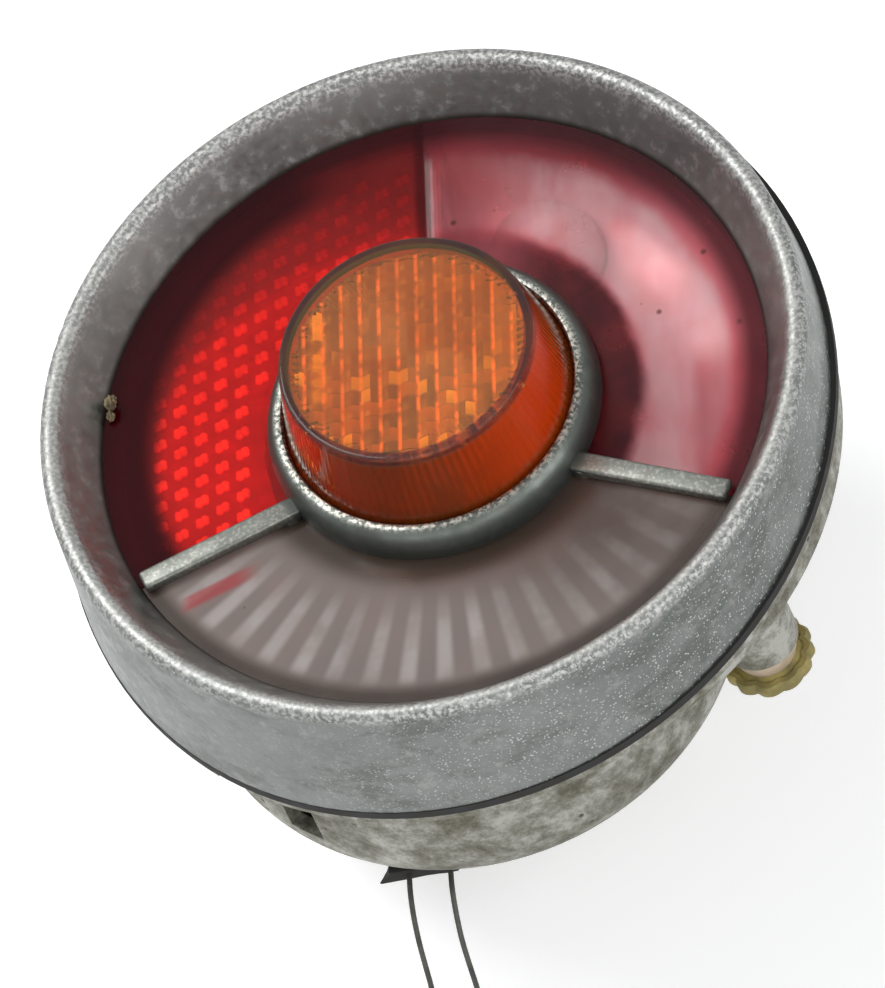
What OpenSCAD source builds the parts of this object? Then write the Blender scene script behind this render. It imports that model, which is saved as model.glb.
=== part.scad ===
// Round car tail light: a cast rim and a centre trim over red, clear and amber lenses, with a reflector
// pan, three bulbs in bayonet sockets and a cast rear housing. Millimetres. The origin is on the lens
// axis, in the housing's rear face, at the middle of the three mounting studs. +Z points out of the
// lens, +Y towards the top of the lamp.

/* [Overall] */
// Height of the front lip above the rear face
lamp_h = 70; // [66:0.5:78]
// Depth of the flat lenses below the lip
recess = 8.4; // [7:0.1:10]
// Mean depth of the rim below the lip, on the axis
rim_depth = 17.9; // [17:0.1:21]
// Tilt of the joint between rim and housing
rake_tilt = 7.5; // [0:0.1:9]
// Direction in which the rim is deepest
rake_dir = 235; // [220:1:245]

/* [Rim] */
// Outer radius of the rim just below its lip
face_r = 61.8; // [61.2:0.1:63]
// Growth of the rim's radius from there to its mean depth
rim_flare = 1; // [0.8:0.1:3.2]
// Width of the sloping inner wall, from the window to the outside
slope_w = 8.2; // [7.8:0.1:9]
// Radius of the lip's rounded crest
lip_round = 1.7; // [1.2:0.1:2]
// Wall of the rim
rim_wall = 2.4; // [1.8:0.1:2.6]
// Width of the flat foot that holds the lenses
foot_w = 2.6; // [2:0.1:2.8]
// Thickness of the gasket between rim and housing
rim_gasket_t = 1.6; // [1:0.1:2.5]
// How far that gasket stands proud of the rim
gasket_proud = 0.6; // [0.2:0.1:1.2]

/* [Lenses] */
// Thickness of the red and clear lenses
lens_t = 3; // [2.4:0.1:3.4]
// How far the red and clear lenses reach under the rim's foot
lens_lap = 2.7; // [2:0.1:3]
// Fall of the lens faces towards the middle
lens_dish = 1.4; // [0:0.1:2]
// Thickness of the rubber ring under the lenses
lens_gasket_t = 1.8; // [1.2:0.1:2.4]
// Number of radial flutes behind the clear lens
flute_count = 17; // [9:1:21]
// Radius of one flute
flute_r = 1.3; // [0.8:0.1:1.6]
// Distance across the flats of a reflex prism
prism_w = 3.2; // [2.8:0.1:4]
// Spacing of the reflex prisms
prism_pitch = 3.85; // [3.6:0.05:5]
// Height of a reflex prism
prism_h = 1.4; // [0.8:0.1:2]
// Thickness of the reflex insert without its prisms
reflex_t = 2; // [1.2:0.1:2.4]

/* [Amber lens] */
// Height of the amber face above the lip
amber_rise = 9.5; // [7:0.1:12]
// Radius of the amber face
amber_face_r = 20.5; // [18.5:0.1:20.8]
// Growth of the amber side's radius from its face to its flange
amber_draft = 3.7; // [3.1:0.1:4]
// Width of the amber lens's flange
amber_flange_w = 0.8; // [0.6:0.1:1]
// Thickness of the amber flange
amber_flange_t = 2.5; // [1.8:0.1:3]
// Wall of the amber lens
amber_wall = 2.7; // [2:0.1:3]
// Number of upright flutes behind the amber face
amber_flutes = 11; // [5:1:13]

/* [Centre trim] */
// Width of the centre ring round the foot of the amber side
ring_w = 2.6; // [2.3:0.1:3.4]
// Height of the centre ring
ring_h = 5.4; // [4:0.1:7]
// Width of a spoke
spoke_w = 3.5; // [2.8:0.1:4.5]
// Height of a spoke above the lens
spoke_h = 1.9; // [1.2:0.1:2.6]
// Fall of each spoke below level
spoke_fall = 22.7; // [20:0.1:24]
// Distance below the axis at which the spokes' middle lines meet
spoke_drop = 4.8; // [3:0.1:7]
// Gap between a spoke's end and the rim
spoke_gap = 0.5; // [0.3:0.1:1.2]
// Radius of a spoke's threaded leg
leg_r = 1.9; // [1.7:0.1:2.1]

/* [Reflector pan] */
// Sheet thickness of the pan
pan_t = 1.2; // [0.8:0.1:1.4]
// Depth of the ring-shaped trough
trough_d = 10.3; // [8:0.1:10.4]
// Radius of the centre opening for the amber bulb
pan_eye_r = 14.2; // [13.2:0.1:15.5]
// Radius of the openings for the two outer bulbs
pan_hole_r = 10.2; // [9.6:0.1:11]
// Thickness of the light baffles
baffle_t = 1.6; // [1:0.1:2]

/* [Housing] */
// How far the rear can's wall lies outside the outer bulbs' axes
can_room = 7.5; // [7.3:0.1:9]
// Rounding between the can's wall and its rear face
can_corner = 14; // [10:0.5:15]
// Wall of the housing
wall = 2.5; // [2:0.1:2.8]
// Depth of the neck's rear face below the lip
neck_depth = 28; // [27.8:0.1:29]
// How far the neck stands back from the rim's outside
neck_step = 1; // [0.2:0.1:1.2]
// How far the raked flange under the gasket stands proud of the rim
flange_proud = 0.1; // [0:0.1:0.4]
// Thickness of the raked flange under the gasket
flange_t = 2; // [1.5:0.1:3]
// Width of the drain notch in the flange and the can
notch_w = 6.4; // [5:0.1:8]
// Direction of the drain notch
notch_dir = 232; // [226:1:238]
// Height of the drain notch's lower end above the rear face
notch_low = 14; // [12:0.5:30]
// Outer radius of the harness spout
spout_r = 6.2; // [5.8:0.1:6.8]
// Length of the harness spout behind the neck
spout_len = 10; // [8:0.1:14]
// How far the harness spout's axis lies inside the neck's wall
spout_inset = 6.3; // [6:0.1:6.8]
// Direction of the harness spout
spout_dir = -36; // [-40:1:-32]

/* [Mounting] */
// Diameter of a mounting stud
stud_d = 5; // [4:0.5:6]
// Length of a mounting stud behind the rear face
stud_len = 18; // [12:0.5:25]
// Diameter of the circle of mounting studs
stud_pcd = 46; // [42:0.5:48]

/* [Sockets and bulbs] */
// Drop from the lens's underside to the top of the socket plate
socket_drop = 21.4; // [21.2:0.1:24]
// Thickness of the socket plate
plate_t = 1.2; // [0.8:0.1:1.6]
// How far the outer bulbs lie inside the middle of the trough
bulb_inset = 2.3; // [1.5:0.1:2.9]
// Direction of the stop and tail bulb
stop_dir = 65; // [60:1:68]
// Direction of the reversing bulb
reverse_dir = 270; // [262:1:276]
// Radius of a bulb cap
cap_r = 7.5; // [7.3:0.1:7.6]
// Length of a bulb cap
cap_len = 13.5; // [12:0.1:14]
// Radius of a bayonet pin
pin_r = 1; // [0.8:0.1:1.1]
// Travel of a bulb when it is pushed in
push = 2; // [1:0.1:2.4]
// Turn of a bulb from locked to free
twist = 25; // [15:1:30]
// Radius of the amber bulb's globe
big_globe_r = 12.4; // [11:0.1:12.6]
// Radius of the outer bulbs' globes
small_globe_r = 9; // [8:0.1:9.3]
// Wall of a socket shell
shell_t = 0.8; // [0.6:0.1:1]

/* [Rubber and leads] */
// Radius of the harness grommet's flange
grommet_r = 7.4; // [7:0.1:8.5]
// Radius of the harness grommet's bore
grommet_bore_r = 3; // [2.5:0.1:3.4]
// Diameter of a thin lead
lead_d = 0.9; // [0.7:0.1:1.2]
// Width of the lead boot
boot_w = 11; // [10.6:0.1:12]
// Height of the lead boot
boot_h = 2.6; // [2.2:0.1:3]

/* [Hidden] */
$fn = 96;
// Clearance between pieces that are put together, and round the bulbs and screws
fit = 0.05;
ease = 0.3;
// Levels above the rear face
lens_z = lamp_h - recess;
lens_in_z = lens_z - lens_dish;
under_z = lens_z - lens_t;
seat_z = under_z - lens_gasket_t;
trough_z = seat_z - trough_d;
neck_z = lamp_h - neck_depth;
rake_z = lamp_h - rim_depth;
amber_z = lamp_h + amber_rise;
amber_flange_z = lens_in_z - 0.1 - amber_flange_t;
ring_z = lens_in_z + 0.1;
spigot_z = under_z - 0.6;
plate_z = under_z - socket_drop - plate_t;
// The rim and what follows its size
base_r = face_r + rim_flare;
window_r = face_r - slope_w;
rim_gasket_r = base_r + gasket_proud;
lens_r = window_r + lens_lap;
spigot_r = face_r - rim_wall;
neck_r = face_r - neck_step;
flange_r = base_r + flange_proud;
spout_at = neck_r - spout_inset;
flare = rim_flare / (rim_depth - 2);
rim_low = 32;
crest_r = face_r - lip_round;
foot_t = 2.2;
// The amber side and its ring
amber_base_r = amber_face_r + amber_draft;
amber_flange_r = amber_base_r + amber_flange_w;
ring_r = amber_base_r + ring_w;
// The lens opening and the seam under the spokes
lens_hole_r = amber_flange_r + 0.3;
seam = 0.15;
lens_slope = lens_dish / (window_r - lens_hole_r);
// The reflector
tube_r = lens_hole_r + 0.1;
tube_z = amber_flange_z - 1.2;
trough_out_r = window_r - 0.4;
trough_mid_r = (trough_out_r + tube_r) / 2;
trough_half = (trough_out_r - tube_r) / 2;
bulb_at = trough_mid_r - bulb_inset;
pan_r = spigot_r - wall - 0.2;
eye_z = trough_z - 2.9;
// The housing's cans: the seen one and the one over the stop and tail bulb
can_a = [-7.5, -7.4];
can_b = [0.5, 7.5];
can_r = bulb_at + can_room;
neck_in_r = spigot_r - wall + 0.1;
screw_dirs = [20, 140, 290];
screw_at = spigot_r - wall;
screw_post_r = 2.4;
screw_r = 1.4;
rest_dirs = [80, 200, 350];
rest_at = spigot_r - wall - 0.9;
rest_r = 1.4;
post_spots = [[-27, 18], [26, 10], [-24, -28]];
post_r = 3.6;
plate_screw_r = 1.4;
notch_in_r = neck_r - 10.8;
// The sockets, measured from the top of the socket plate
shell_in_r = cap_r + 0.35;
shell_r = shell_in_r + shell_t;
shell_low = 20.7;
shell_flange_r = shell_r + 2;
shell_flange_t = 1;
pin_drop = 6.2;
cap_low = 12.2;
contact_t = 0.95;
head_t = 1.2;
head_r = 3;
stem_r = 1.5;
insulator_t = 2;
stem_tail = 2.5;
big_globe_up = 21.3;
small_globe_up = 11;
neck_glass_r = 6.6;
glass_t = 0.7;
cap_up = cap_len - cap_low;
sites = [[0, 0], bulb_at * [cos(stop_dir), sin(stop_dir)], bulb_at * [cos(reverse_dir), sin(reverse_dir)]];
// The spout, its grommet and the lead boot
spout_xy = spout_at * [cos(spout_dir), sin(spout_dir)];
spout_z = neck_z - spout_len;
spout_bore_r = 4.6;
boot_x = -18.1;
boot_z = 2.3;
boot_y = can_a[1] - can_r + 5.5;
boot_len = 13;
lead_xs = [-20.5, -13.8];
cell_shift = 1.3;
stud_grip = 0.4;
floor_z = -stud_len;
// Routes of the leads, from the boot to their bare ends, laid for a boot whose mouth is at this Y
laid_y = -46.4;
boot_shift = [0, boot_y - laid_y, 0];
// The sockets' lower ends were at this height when the inner routes were laid
laid_z = 16.5;
socket_shift = [0, 0, plate_z + plate_t - shell_low - laid_z];
drop_left = [[-20.5, -46.4, 2.3], [-20.5, -49.5, 1.9], [-20.5, -52.5, 0.3], [-20.5, -55.4, -2.7],
    [-20.5, -57.6, -6.5], [-20.6, -59.5, -11], [-20.8, -62, -15], [-20.6, -66, -17.2], [-19, -71, -17.55],
    [-14, -77, -17.55], [-6, -82, -17.55], [4, -86, -17.55]];
drop_right = [[-13.8, -46.4, 2.3], [-13.8, -49.3, 1.8], [-13.8, -52.4, -0.1], [-13.8, -55.6, -3.6],
    [-13.7, -57.8, -7.6], [-13.6, -59.7, -12], [-13.4, -62.2, -15.6], [-12.8, -66, -17.3],
    [-11, -70, -17.55], [-5, -75, -17.55], [4, -79, -17.55], [14, -81, -17.55]];
// Routes of the leads inside the can, from the boot to the sockets
inner_left = [[-20.5, -33.6, 2.3], [-20.4, -32, 2.7], [-20, -30.5, 4], [-17, -24, 7], [-10, -12, 11],
    [-5, -4, 14], [-4, 0, 16.3]];
inner_right = [[-13.8, -33.6, 2.3], [-13.4, -32.2, 2.9], [-12, -31, 5], [-8, -32, 9], [-4, -35, 13],
    [-3.2, -36.8, 16.3]];

// A slab between two heights above the raked joint plane
module raked_slab(low, high) {
    translate([0, 0, rake_z])
        rotate([0, 0, rake_dir])
            rotate([0, rake_tilt, 0])
                translate([-100, -100, low])
                    cube([200, 200, high - low]);
}

module tube(outer, inner, low, high) {
    translate([0, 0, low])
        difference() {
            cylinder(r = outer, h = high - low);
            translate([0, 0, -1]) cylinder(r = inner, h = high - low + 2);
        }
}

module round_at(dirs, at) {
    for (a = dirs) rotate([0, 0, a]) translate([at, 0, 0]) children();
}

// The area below the spokes, where the clear lens lies, grown by a margin
module clear_area(grow = 0) {
    fall = tan(spoke_fall);
    lift = grow / cos(spoke_fall);
    translate([0, 0, -10])
        linear_extrude(height = 200)
            polygon([[0, lift - spoke_drop], [80, lift - spoke_drop - 80 * fall], [80, -90],
                [-80, -90], [-80, lift - spoke_drop - 80 * fall]]);
}

// Places children along one spoke, with X running outwards from where the spokes meet
module on_spoke(side) {
    translate([0, -spoke_drop, 0])
        rotate([0, 0, side > 0 ? -spoke_fall : 180 + spoke_fall])
            children();
}

// Distance along a spoke from the meeting point to a circle round the axis
function spoke_reach(r) =
    sqrt(pow(r, 2) - pow(spoke_drop * cos(spoke_fall), 2)) - spoke_drop * sin(spoke_fall);
leg_along = spoke_reach(ring_r + 1.4);

module rim_profile() {
    lip_in = lip_round * [cos(28), sin(28)];
    low_r = face_r + flare * (lamp_h - 2 - rim_low);
    union() {
        polygon([[window_r, lens_z], [crest_r - lip_in[0], lamp_h - lip_round + lip_in[1]],
            [crest_r, lamp_h - lip_round], [face_r, lamp_h - lip_round],
            [low_r, rim_low], [low_r - rim_wall, rim_low],
            [face_r - rim_wall + flare * 5, lamp_h - 7], [crest_r - 1, lamp_h - 5.6],
            [window_r + foot_w, lens_z]]);
        translate([crest_r, lamp_h - lip_round]) circle(r = lip_round);
    }
}

module bezel() {
    color("lightslategray")
        difference() {
            union() {
                rotate_extrude() rim_profile();
                round_at(screw_dirs, screw_at)
                    translate([0, 0, spigot_z + 0.3])
                        cylinder(r = screw_post_r, h = lens_z + 0.6 - spigot_z, $fn = 32);
            }
            raked_slab(-80, 0);
            round_at(screw_dirs, screw_at)
                translate([0, 0, spigot_z - 1]) cylinder(r = screw_r, h = lens_z + 1.6 - spigot_z, $fn = 32);
        }
}

module bezel_gasket() {
    color("black")
        intersection() {
            tube(rim_gasket_r, spigot_r + 0.4, 20, lamp_h + 20);
            raked_slab(-rim_gasket_t, 0);
        }
}

module lens_ring() {
    rotate_extrude()
        polygon([[lens_hole_r, lens_in_z], [window_r, lens_z], [lens_r, lens_z], [lens_r, under_z],
            [window_r, under_z], [lens_hole_r, lens_in_z - lens_t]]);
}

// What the lens, its gasket and the pan leave free for the rim's screw posts
module screw_clearance() {
    round_at(screw_dirs, screw_at) cylinder(r = screw_post_r + ease, h = 200, $fn = 32);
}

module leg_clearance(grow) {
    for (side = [-1, 1])
        on_spoke(side) translate([leg_along, 0, 0]) cylinder(r = leg_r + grow, h = 200, $fn = 32);
}

module red_lens() {
    color("firebrick")
        difference() {
            lens_ring();
            clear_area(seam);
            screw_clearance();
            leg_clearance(0.2);
        }
}

module clear_lens() {
    step = (180 - 2 * spoke_fall - 22) / (flute_count - 1);
    first = 180 + spoke_fall + 11;
    color("gainsboro")
        difference() {
            intersection() {
                lens_ring();
                clear_area(-seam);
            }
            screw_clearance();
            leg_clearance(0.2);
            for (i = [0 : flute_count - 1])
                rotate([0, 0, first + i * step])
                    translate([lens_hole_r + 5.5, 0, under_z - lens_dish * 0.5 - 0.5])
                        rotate([0, 90, 0])
                            cylinder(r = flute_r, h = window_r - lens_hole_r - 9.5, $fn = 24);
        }
}

// The prisms lie in columns along Y, every second column half a step lower
function cell_free(x, y) =
    norm([x, y]) > tube_r + 5.5 && norm([x, y]) < window_r - 5 && x < -5
    && y > x * tan(spoke_fall) - spoke_drop + 5;

module reflex_cells() {
    col = prism_pitch * cos(30);
    for (i = [-15 : -2])
        for (j = [-4 : 14]) {
            x = i * col + cell_shift;
            y = (j + (i % 2 == 0 ? 0 : 0.5)) * prism_pitch;
            if (cell_free(x, y))
                translate([x, y, 0]) cylinder(r = prism_w / 2 / cos(30), h = prism_h, $fn = 6);
        }
}

module reflex_insert() {
    top = lens_in_z - lens_t - 0.15;
    color("crimson")
        union() {
            difference() {
                tube(window_r - 2.6, tube_r + 3, top - reflex_t, top);
                clear_area(baffle_t / 2 + 0.4);
                leg_clearance(1);
                translate([-baffle_t / 2 - 0.4, -90, 0]) cube([180, 180, 200]);
            }
            translate([0, 0, top - reflex_t - prism_h + 0.2]) reflex_cells();
        }
}

module lens_gasket() {
    color("dimgray")
        difference() {
            tube(lens_r, window_r + 0.3, seat_z, under_z);
            screw_clearance();
        }
}

module amber_side(r_face, r_base, top) {
    polygon([[0, tube_z], [r_base, tube_z], [r_base, amber_flange_z], [r_face, top], [0, top]]);
}

module amber_lens() {
    inside = amber_z - 3;
    step = 2 * (amber_face_r - amber_wall - 1.5) / (amber_flutes - 1);
    color("orange")
        difference() {
            rotate_extrude()
                union() {
                    polygon([[0, amber_flange_z], [amber_flange_r, amber_flange_z],
                        [amber_flange_r, lens_in_z - 0.1], [amber_base_r, lens_in_z - 0.1],
                        [amber_face_r, amber_z - 1], [amber_face_r - 1, amber_z], [0, amber_z]]);
                    translate([amber_face_r - 1, amber_z - 1]) circle(r = 1, $fn = 32);
                }
            rotate_extrude()
                polygon([[0, amber_flange_z - 1], [amber_base_r - amber_wall, amber_flange_z - 1],
                    [amber_face_r - amber_wall, inside], [0, inside]]);
            for (i = [0 : amber_flutes - 1]) {
                x = -amber_face_r + amber_wall + 1.5 + i * step;
                half = sqrt(pow(amber_face_r - amber_wall, 2) - x * x);
                translate([x, half - 0.6, inside - 0.4])
                    rotate([90, 0, 0])
                        cylinder(r = 1.1, h = 2 * half - 1.2, $fn = 24);
            }
        }
}

module amber_gasket() {
    color("dimgray") tube(amber_flange_r, amber_base_r - amber_wall + 0.6, tube_z, amber_flange_z);
}

module trim_ring_profile() {
    top = ring_z + ring_h;
    side = (amber_base_r - amber_face_r) / (amber_z - lens_in_z);
    round_r = 1.9;
    polygon([[amber_base_r + ease, ring_z], [amber_base_r + ease - side * ring_h, top],
        [ring_r - round_r + 0.4, top], [ring_r - round_r + 1.3, top - 0.6],
        [ring_r - 0.2, top - 1.9], [ring_r, top - 3.2], [ring_r, ring_z]]);
}

module spoke_bar() {
    out = spoke_reach(window_r - spoke_gap);
    in = spoke_reach(ring_r - 0.7);
    z_in = lens_in_z + (ring_r - lens_hole_r) * lens_slope + 0.05;
    z_out = lens_z - spoke_gap * lens_slope + 0.05;
    rise = 0.5;
    difference() {
        translate([0, spoke_w / 2, 0])
            rotate([90, 0, 0])
                linear_extrude(height = spoke_w)
                    polygon([[in, z_in], [out, z_out], [out, z_out + spoke_h],
                        [(in * 2 + out) / 3, z_in + spoke_h + rise], [in, z_in + spoke_h + rise]]);
        translate([0, spoke_w / 2, z_out + spoke_h * 0.35])
            rotate([38, 0, 0])
                translate([in - 5, 0, 0]) cube([out - in + 10, 4, 4]);
    }
}

module centre_trim() {
    color("silver")
        difference() {
            union() {
                rotate_extrude() trim_ring_profile();
                intersection() {
                    union() {
                        on_spoke(1) spoke_bar();
                        mirror([1, 0, 0]) on_spoke(1) spoke_bar();
                    }
                    cylinder(r = window_r - spoke_gap, h = 200);
                }
                for (side = [-1, 1])
                    on_spoke(side)
                        translate([leg_along, 0, seat_z - 1.2])
                            cylinder(r = leg_r, h = ring_z + 2.4 - seat_z, $fn = 32);
            }
            for (side = [-1, 1])
                on_spoke(side) translate([leg_along, 0, 0]) cylinder(r = 1, h = ring_z - 0.4, $fn = 32);
        }
}

module trim_screws() {
    color("goldenrod")
        for (side = [-1, 1])
            on_spoke(side)
                translate([leg_along, 0, 0]) {
                    translate([0, 0, eye_z + 1]) cylinder(r = 1 - fit, h = ring_z - 1.5 - eye_z, $fn = 32);
                    translate([0, 0, eye_z - 0.6]) cylinder(r = 1.9, h = 1.6, $fn = 32);
                }
}

function trough_point(t, grow) =
    [trough_mid_r + (trough_half + grow * 0.8) * cos(t), seat_z - (trough_d + grow) * sin(t)];

module pan_body() {
    rotate_extrude()
        union() {
            polygon(concat([[pan_r, seat_z], [trough_out_r, seat_z]],
                [for (t = [15 : 15 : 165]) trough_point(t, 0)],
                [[tube_r, tube_z], [tube_r - pan_t, tube_z]],
                [for (t = [165 : -15 : 15]) trough_point(t, pan_t)],
                [[trough_out_r + pan_t, seat_z - pan_t], [pan_r, seat_z - pan_t]]));
            polygon([[tube_r - pan_t - 0.1, tube_z], [tube_r, tube_z], [tube_r, tube_z - 1.6],
                [pan_eye_r + pan_t + 0.2, eye_z], [pan_eye_r, eye_z], [pan_eye_r, eye_z + 1.6]]);
        }
}

module reflector_pan() {
    color("whitesmoke")
        difference() {
            union() {
                pan_body();
                for (side = [-1, 1])
                    on_spoke(side)
                        translate([leg_along, 0, eye_z + 1])
                            cylinder(r = 2.6, h = seat_z - 2.25 - eye_z, $fn = 32);
            }
            for (k = [1, 2]) translate([sites[k][0], sites[k][1], 0]) cylinder(r = pan_hole_r, h = 200);
            screw_clearance();
            for (side = [-1, 1])
                on_spoke(side) translate([leg_along, 0, 0]) cylinder(r = 1.2, h = 200, $fn = 32);
        }
}

// Everything below the pan's upper face, with a little clearance
module under_pan() {
    rotate_extrude()
        polygon(concat([[trough_out_r + 6, 20], [trough_out_r + 6, seat_z]],
            [for (t = [0 : 15 : 165]) trough_point(t, 0) + [0, 0.1]],
            [[tube_r + 0.3, tube_z], [tube_r + 0.3, 20]]));
}

module light_baffles() {
    top = lens_in_z - lens_t - 0.1;
    from = leg_along + leg_r + 0.9;
    color("lightgray")
        difference() {
            union() {
                translate([-baffle_t / 2, tube_r + 0.5, trough_z])
                    cube([baffle_t, trough_out_r - tube_r - 1, top - trough_z]);
                for (side = [-1, 1])
                    on_spoke(side)
                        translate([from, -baffle_t / 2, trough_z])
                            cube([spoke_reach(trough_out_r) - from - 0.7, baffle_t, top - trough_z]);
            }
            under_pan();
        }
}

module can_outside(at) {
    translate([at[0], at[1], 0])
        rotate_extrude()
            union() {
                square([can_r - can_corner, neck_z + 1]);
                translate([0, can_corner]) square([can_r, neck_z + 1 - can_corner]);
                translate([can_r - can_corner, can_corner]) circle(r = can_corner);
            }
}

module can_inside(at) {
    round_in = can_corner - wall;
    translate([at[0], at[1], wall])
        rotate_extrude()
            union() {
                square([can_r - can_corner, neck_z + 1]);
                translate([0, round_in]) square([can_r - wall, neck_z + 1 - round_in]);
                translate([can_r - can_corner, round_in]) circle(r = round_in);
            }
}

module housing_shell() {
    difference() {
        union() {
            can_outside(can_a);
            can_outside(can_b);
            difference() {
                translate([0, 0, neck_z]) cylinder(r = neck_r, h = lamp_h - neck_z);
                raked_slab(-rim_gasket_t, 100);
            }
            intersection() {
                tube(flange_r, 50, rim_low - 10, lamp_h);
                raked_slab(-rim_gasket_t - flange_t, -rim_gasket_t);
            }
            difference() {
                tube(spigot_r, 50, rim_low - 10, spigot_z);
                raked_slab(-90, -rim_gasket_t - flange_t);
            }
            translate([0, 0, neck_z]) tube(spigot_r, 50, 0, spigot_z - neck_z);
        }
        can_inside(can_a);
        can_inside(can_b);
        translate([0, 0, neck_z + wall]) cylinder(r = neck_in_r, h = 60);
    }
}

module housing_holes() {
    for (k = [0 : 2])
        rotate([0, 0, 90 + 120 * k])
            translate([stud_pcd / 2, 0, -1])
                cylinder(r = stud_d / 2 + stud_grip + fit, h = wall + 8, $fn = 48);
    round_at(screw_dirs, screw_at)
        translate([0, 0, 20]) cylinder(r = screw_r + 0.25, h = 60, $fn = 32);
    for (p = post_spots)
        translate([p[0], p[1], wall + 6]) cylinder(r = plate_screw_r, h = 60, $fn = 32);
    translate([spout_xy[0], spout_xy[1], spout_z - 1])
        cylinder(r = spout_bore_r, h = spout_len + wall + 2, $fn = 48);
    rotate([0, 0, notch_dir])
        intersection() {
            translate([notch_in_r, -notch_w / 2, notch_low]) cube([20, notch_w, lamp_h - notch_low]);
            raked_slab(-80, -rim_gasket_t);
        }
    translate([boot_x - boot_w / 2 - 0.1, boot_y - 1, boot_z - boot_h / 2 - 0.1])
        cube([boot_w + 0.2, boot_len + 4, boot_h + 0.2]);
}

module housing() {
    color("darkkhaki")
        difference() {
            union() {
                housing_shell();
                for (k = [0 : 2])
                    rotate([0, 0, 90 + 120 * k])
                        translate([stud_pcd / 2, 0, wall - 0.5])
                            cylinder(r = stud_d / 2 + 3, h = 5, $fn = 48);
                round_at(screw_dirs, screw_at)
                    translate([0, 0, neck_z])
                        cylinder(r = screw_post_r, h = spigot_z - neck_z - 0.5, $fn = 32);
                round_at(rest_dirs, rest_at)
                    translate([0, 0, neck_z + wall - 0.5])
                        cylinder(r = rest_r, h = seat_z - pan_t - neck_z - wall + 0.5, $fn = 32);
                for (p = post_spots)
                    translate([p[0], p[1], wall - 0.5])
                        cylinder(r = post_r, h = plate_z - wall + 0.5, $fn = 32);
                translate([spout_xy[0], spout_xy[1], spout_z])
                    cylinder(r = spout_r, h = spout_len + 1, $fn = 48);
            }
            housing_holes();
        }
}

module mounting_studs() {
    color("darkgray")
        for (k = [0 : 2])
            rotate([0, 0, 90 + 120 * k])
                translate([stud_pcd / 2, 0, 0]) {
                    translate([0, 0, floor_z]) cylinder(r = stud_d / 2, h = 0.1 - floor_z, $fn = 48);
                    cylinder(r = stud_d / 2 + stud_grip, h = wall + 4.6, $fn = 48);
                    translate([0, 0, wall + 4.5]) cylinder(r = stud_d / 2 + 2, h = 2, $fn = 6);
                }
}

module bezel_screws() {
    color("darkgray")
        round_at(screw_dirs, screw_at) {
            translate([0, 0, neck_z - 2]) cylinder(r = 2.5, h = 2, $fn = 32);
            translate([0, 0, neck_z - 0.5]) cylinder(r = screw_r - fit, h = lens_z + 0.4 - neck_z, $fn = 32);
        }
}

module socket_plate() {
    color("slategray")
        difference() {
            for (at = [can_a, can_b])
                translate([at[0], at[1], plate_z]) cylinder(r = can_r - wall - 0.4, h = plate_t);
            for (s = sites) translate([s[0], s[1], 0]) cylinder(r = shell_r + 0.1, h = 100, $fn = 64);
            for (p = post_spots)
                translate([p[0], p[1], 0]) cylinder(r = plate_screw_r + 0.2, h = 100, $fn = 32);
        }
}

module plate_screws() {
    top = plate_z + plate_t;
    color("darkgray")
        for (p = post_spots)
            translate([p[0], p[1], 0]) {
                translate([0, 0, top - 14]) cylinder(r = plate_screw_r - fit, h = 14.5, $fn = 32);
                translate([0, 0, top]) cylinder(r = 2.7, h = 1.8, $fn = 32);
            }
}

// Places children at a bulb's axis, with Z = 0 in the top of the socket plate
module at_site(k) {
    translate([sites[k][0], sites[k][1], plate_z + plate_t]) children();
}

// A sector that a bayonet pin sweeps in the socket's wall
module pin_window() {
    spare = asin((pin_r + 0.4) / shell_in_r);
    mid_turn = twist / 2;
    for (half = [0, 180])
        rotate([0, 0, half]) {
            translate([0, 0, -pin_drop - pin_r - push - ease])
                linear_extrude(height = 2 * pin_r + push + ease + 0.2)
                    polygon([[0, 0], 14 * [cos(-spare), sin(-spare)], 14 * [cos(mid_turn), sin(mid_turn)],
                        14 * [cos(twist + spare), sin(twist + spare)]]);
            rotate([0, 0, twist])
                translate([0, -pin_r - 0.15, -pin_drop - pin_r])
                    cube([14, 2 * pin_r + 0.3, 20]);
        }
}

module socket(k) {
    at_site(k)
        difference() {
            union() {
                translate([0, 0, -shell_low]) cylinder(r = shell_r, h = shell_low + 0.5, $fn = 64);
                cylinder(r = shell_flange_r, h = shell_flange_t, $fn = 64);
            }
            translate([0, 0, -shell_low - 1]) cylinder(r = shell_in_r, h = shell_low + 5, $fn = 64);
            pin_window();
        }
}

module insulator(k) {
    at_site(k)
        translate([0, 0, -shell_low])
            difference() {
                cylinder(r = shell_in_r - fit, h = insulator_t, $fn = 64);
                translate([0, 0, -1]) cylinder(r = stem_r + 0.25, h = insulator_t + 2, $fn = 32);
            }
}

// The top of the plunger lies just under the bulb's contact
head_z = -cap_low - contact_t - fit;

module plunger(k) {
    at_site(k) {
        translate([0, 0, head_z - head_t]) cylinder(r = head_r, h = head_t, $fn = 48);
        translate([0, 0, -shell_low - stem_tail])
            cylinder(r = stem_r, h = head_z - head_t + shell_low + stem_tail + 0.1, $fn = 32);
    }
}

module spring(k) {
    low = insulator_t - shell_low + fit;
    at_site(k)
        translate([0, 0, low])
            difference() {
                cylinder(r = stem_r + 1.2, h = head_z - head_t - fit - low, $fn = 32);
                translate([0, 0, -1]) cylinder(r = stem_r + 0.4, h = 10, $fn = 32);
            }
}

module cap(k) {
    at_site(k) {
        translate([0, 0, -cap_low]) cylinder(r = cap_r, h = cap_len, $fn = 64);
        translate([0, 0, -cap_low - contact_t]) cylinder(r = 2, h = contact_t + 0.1, $fn = 32);
        translate([-cap_r - 1.1, 0, -pin_drop])
            rotate([0, 90, 0])
                cylinder(r = pin_r, h = 2 * cap_r + 2.2, $fn = 32);
    }
}

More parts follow.
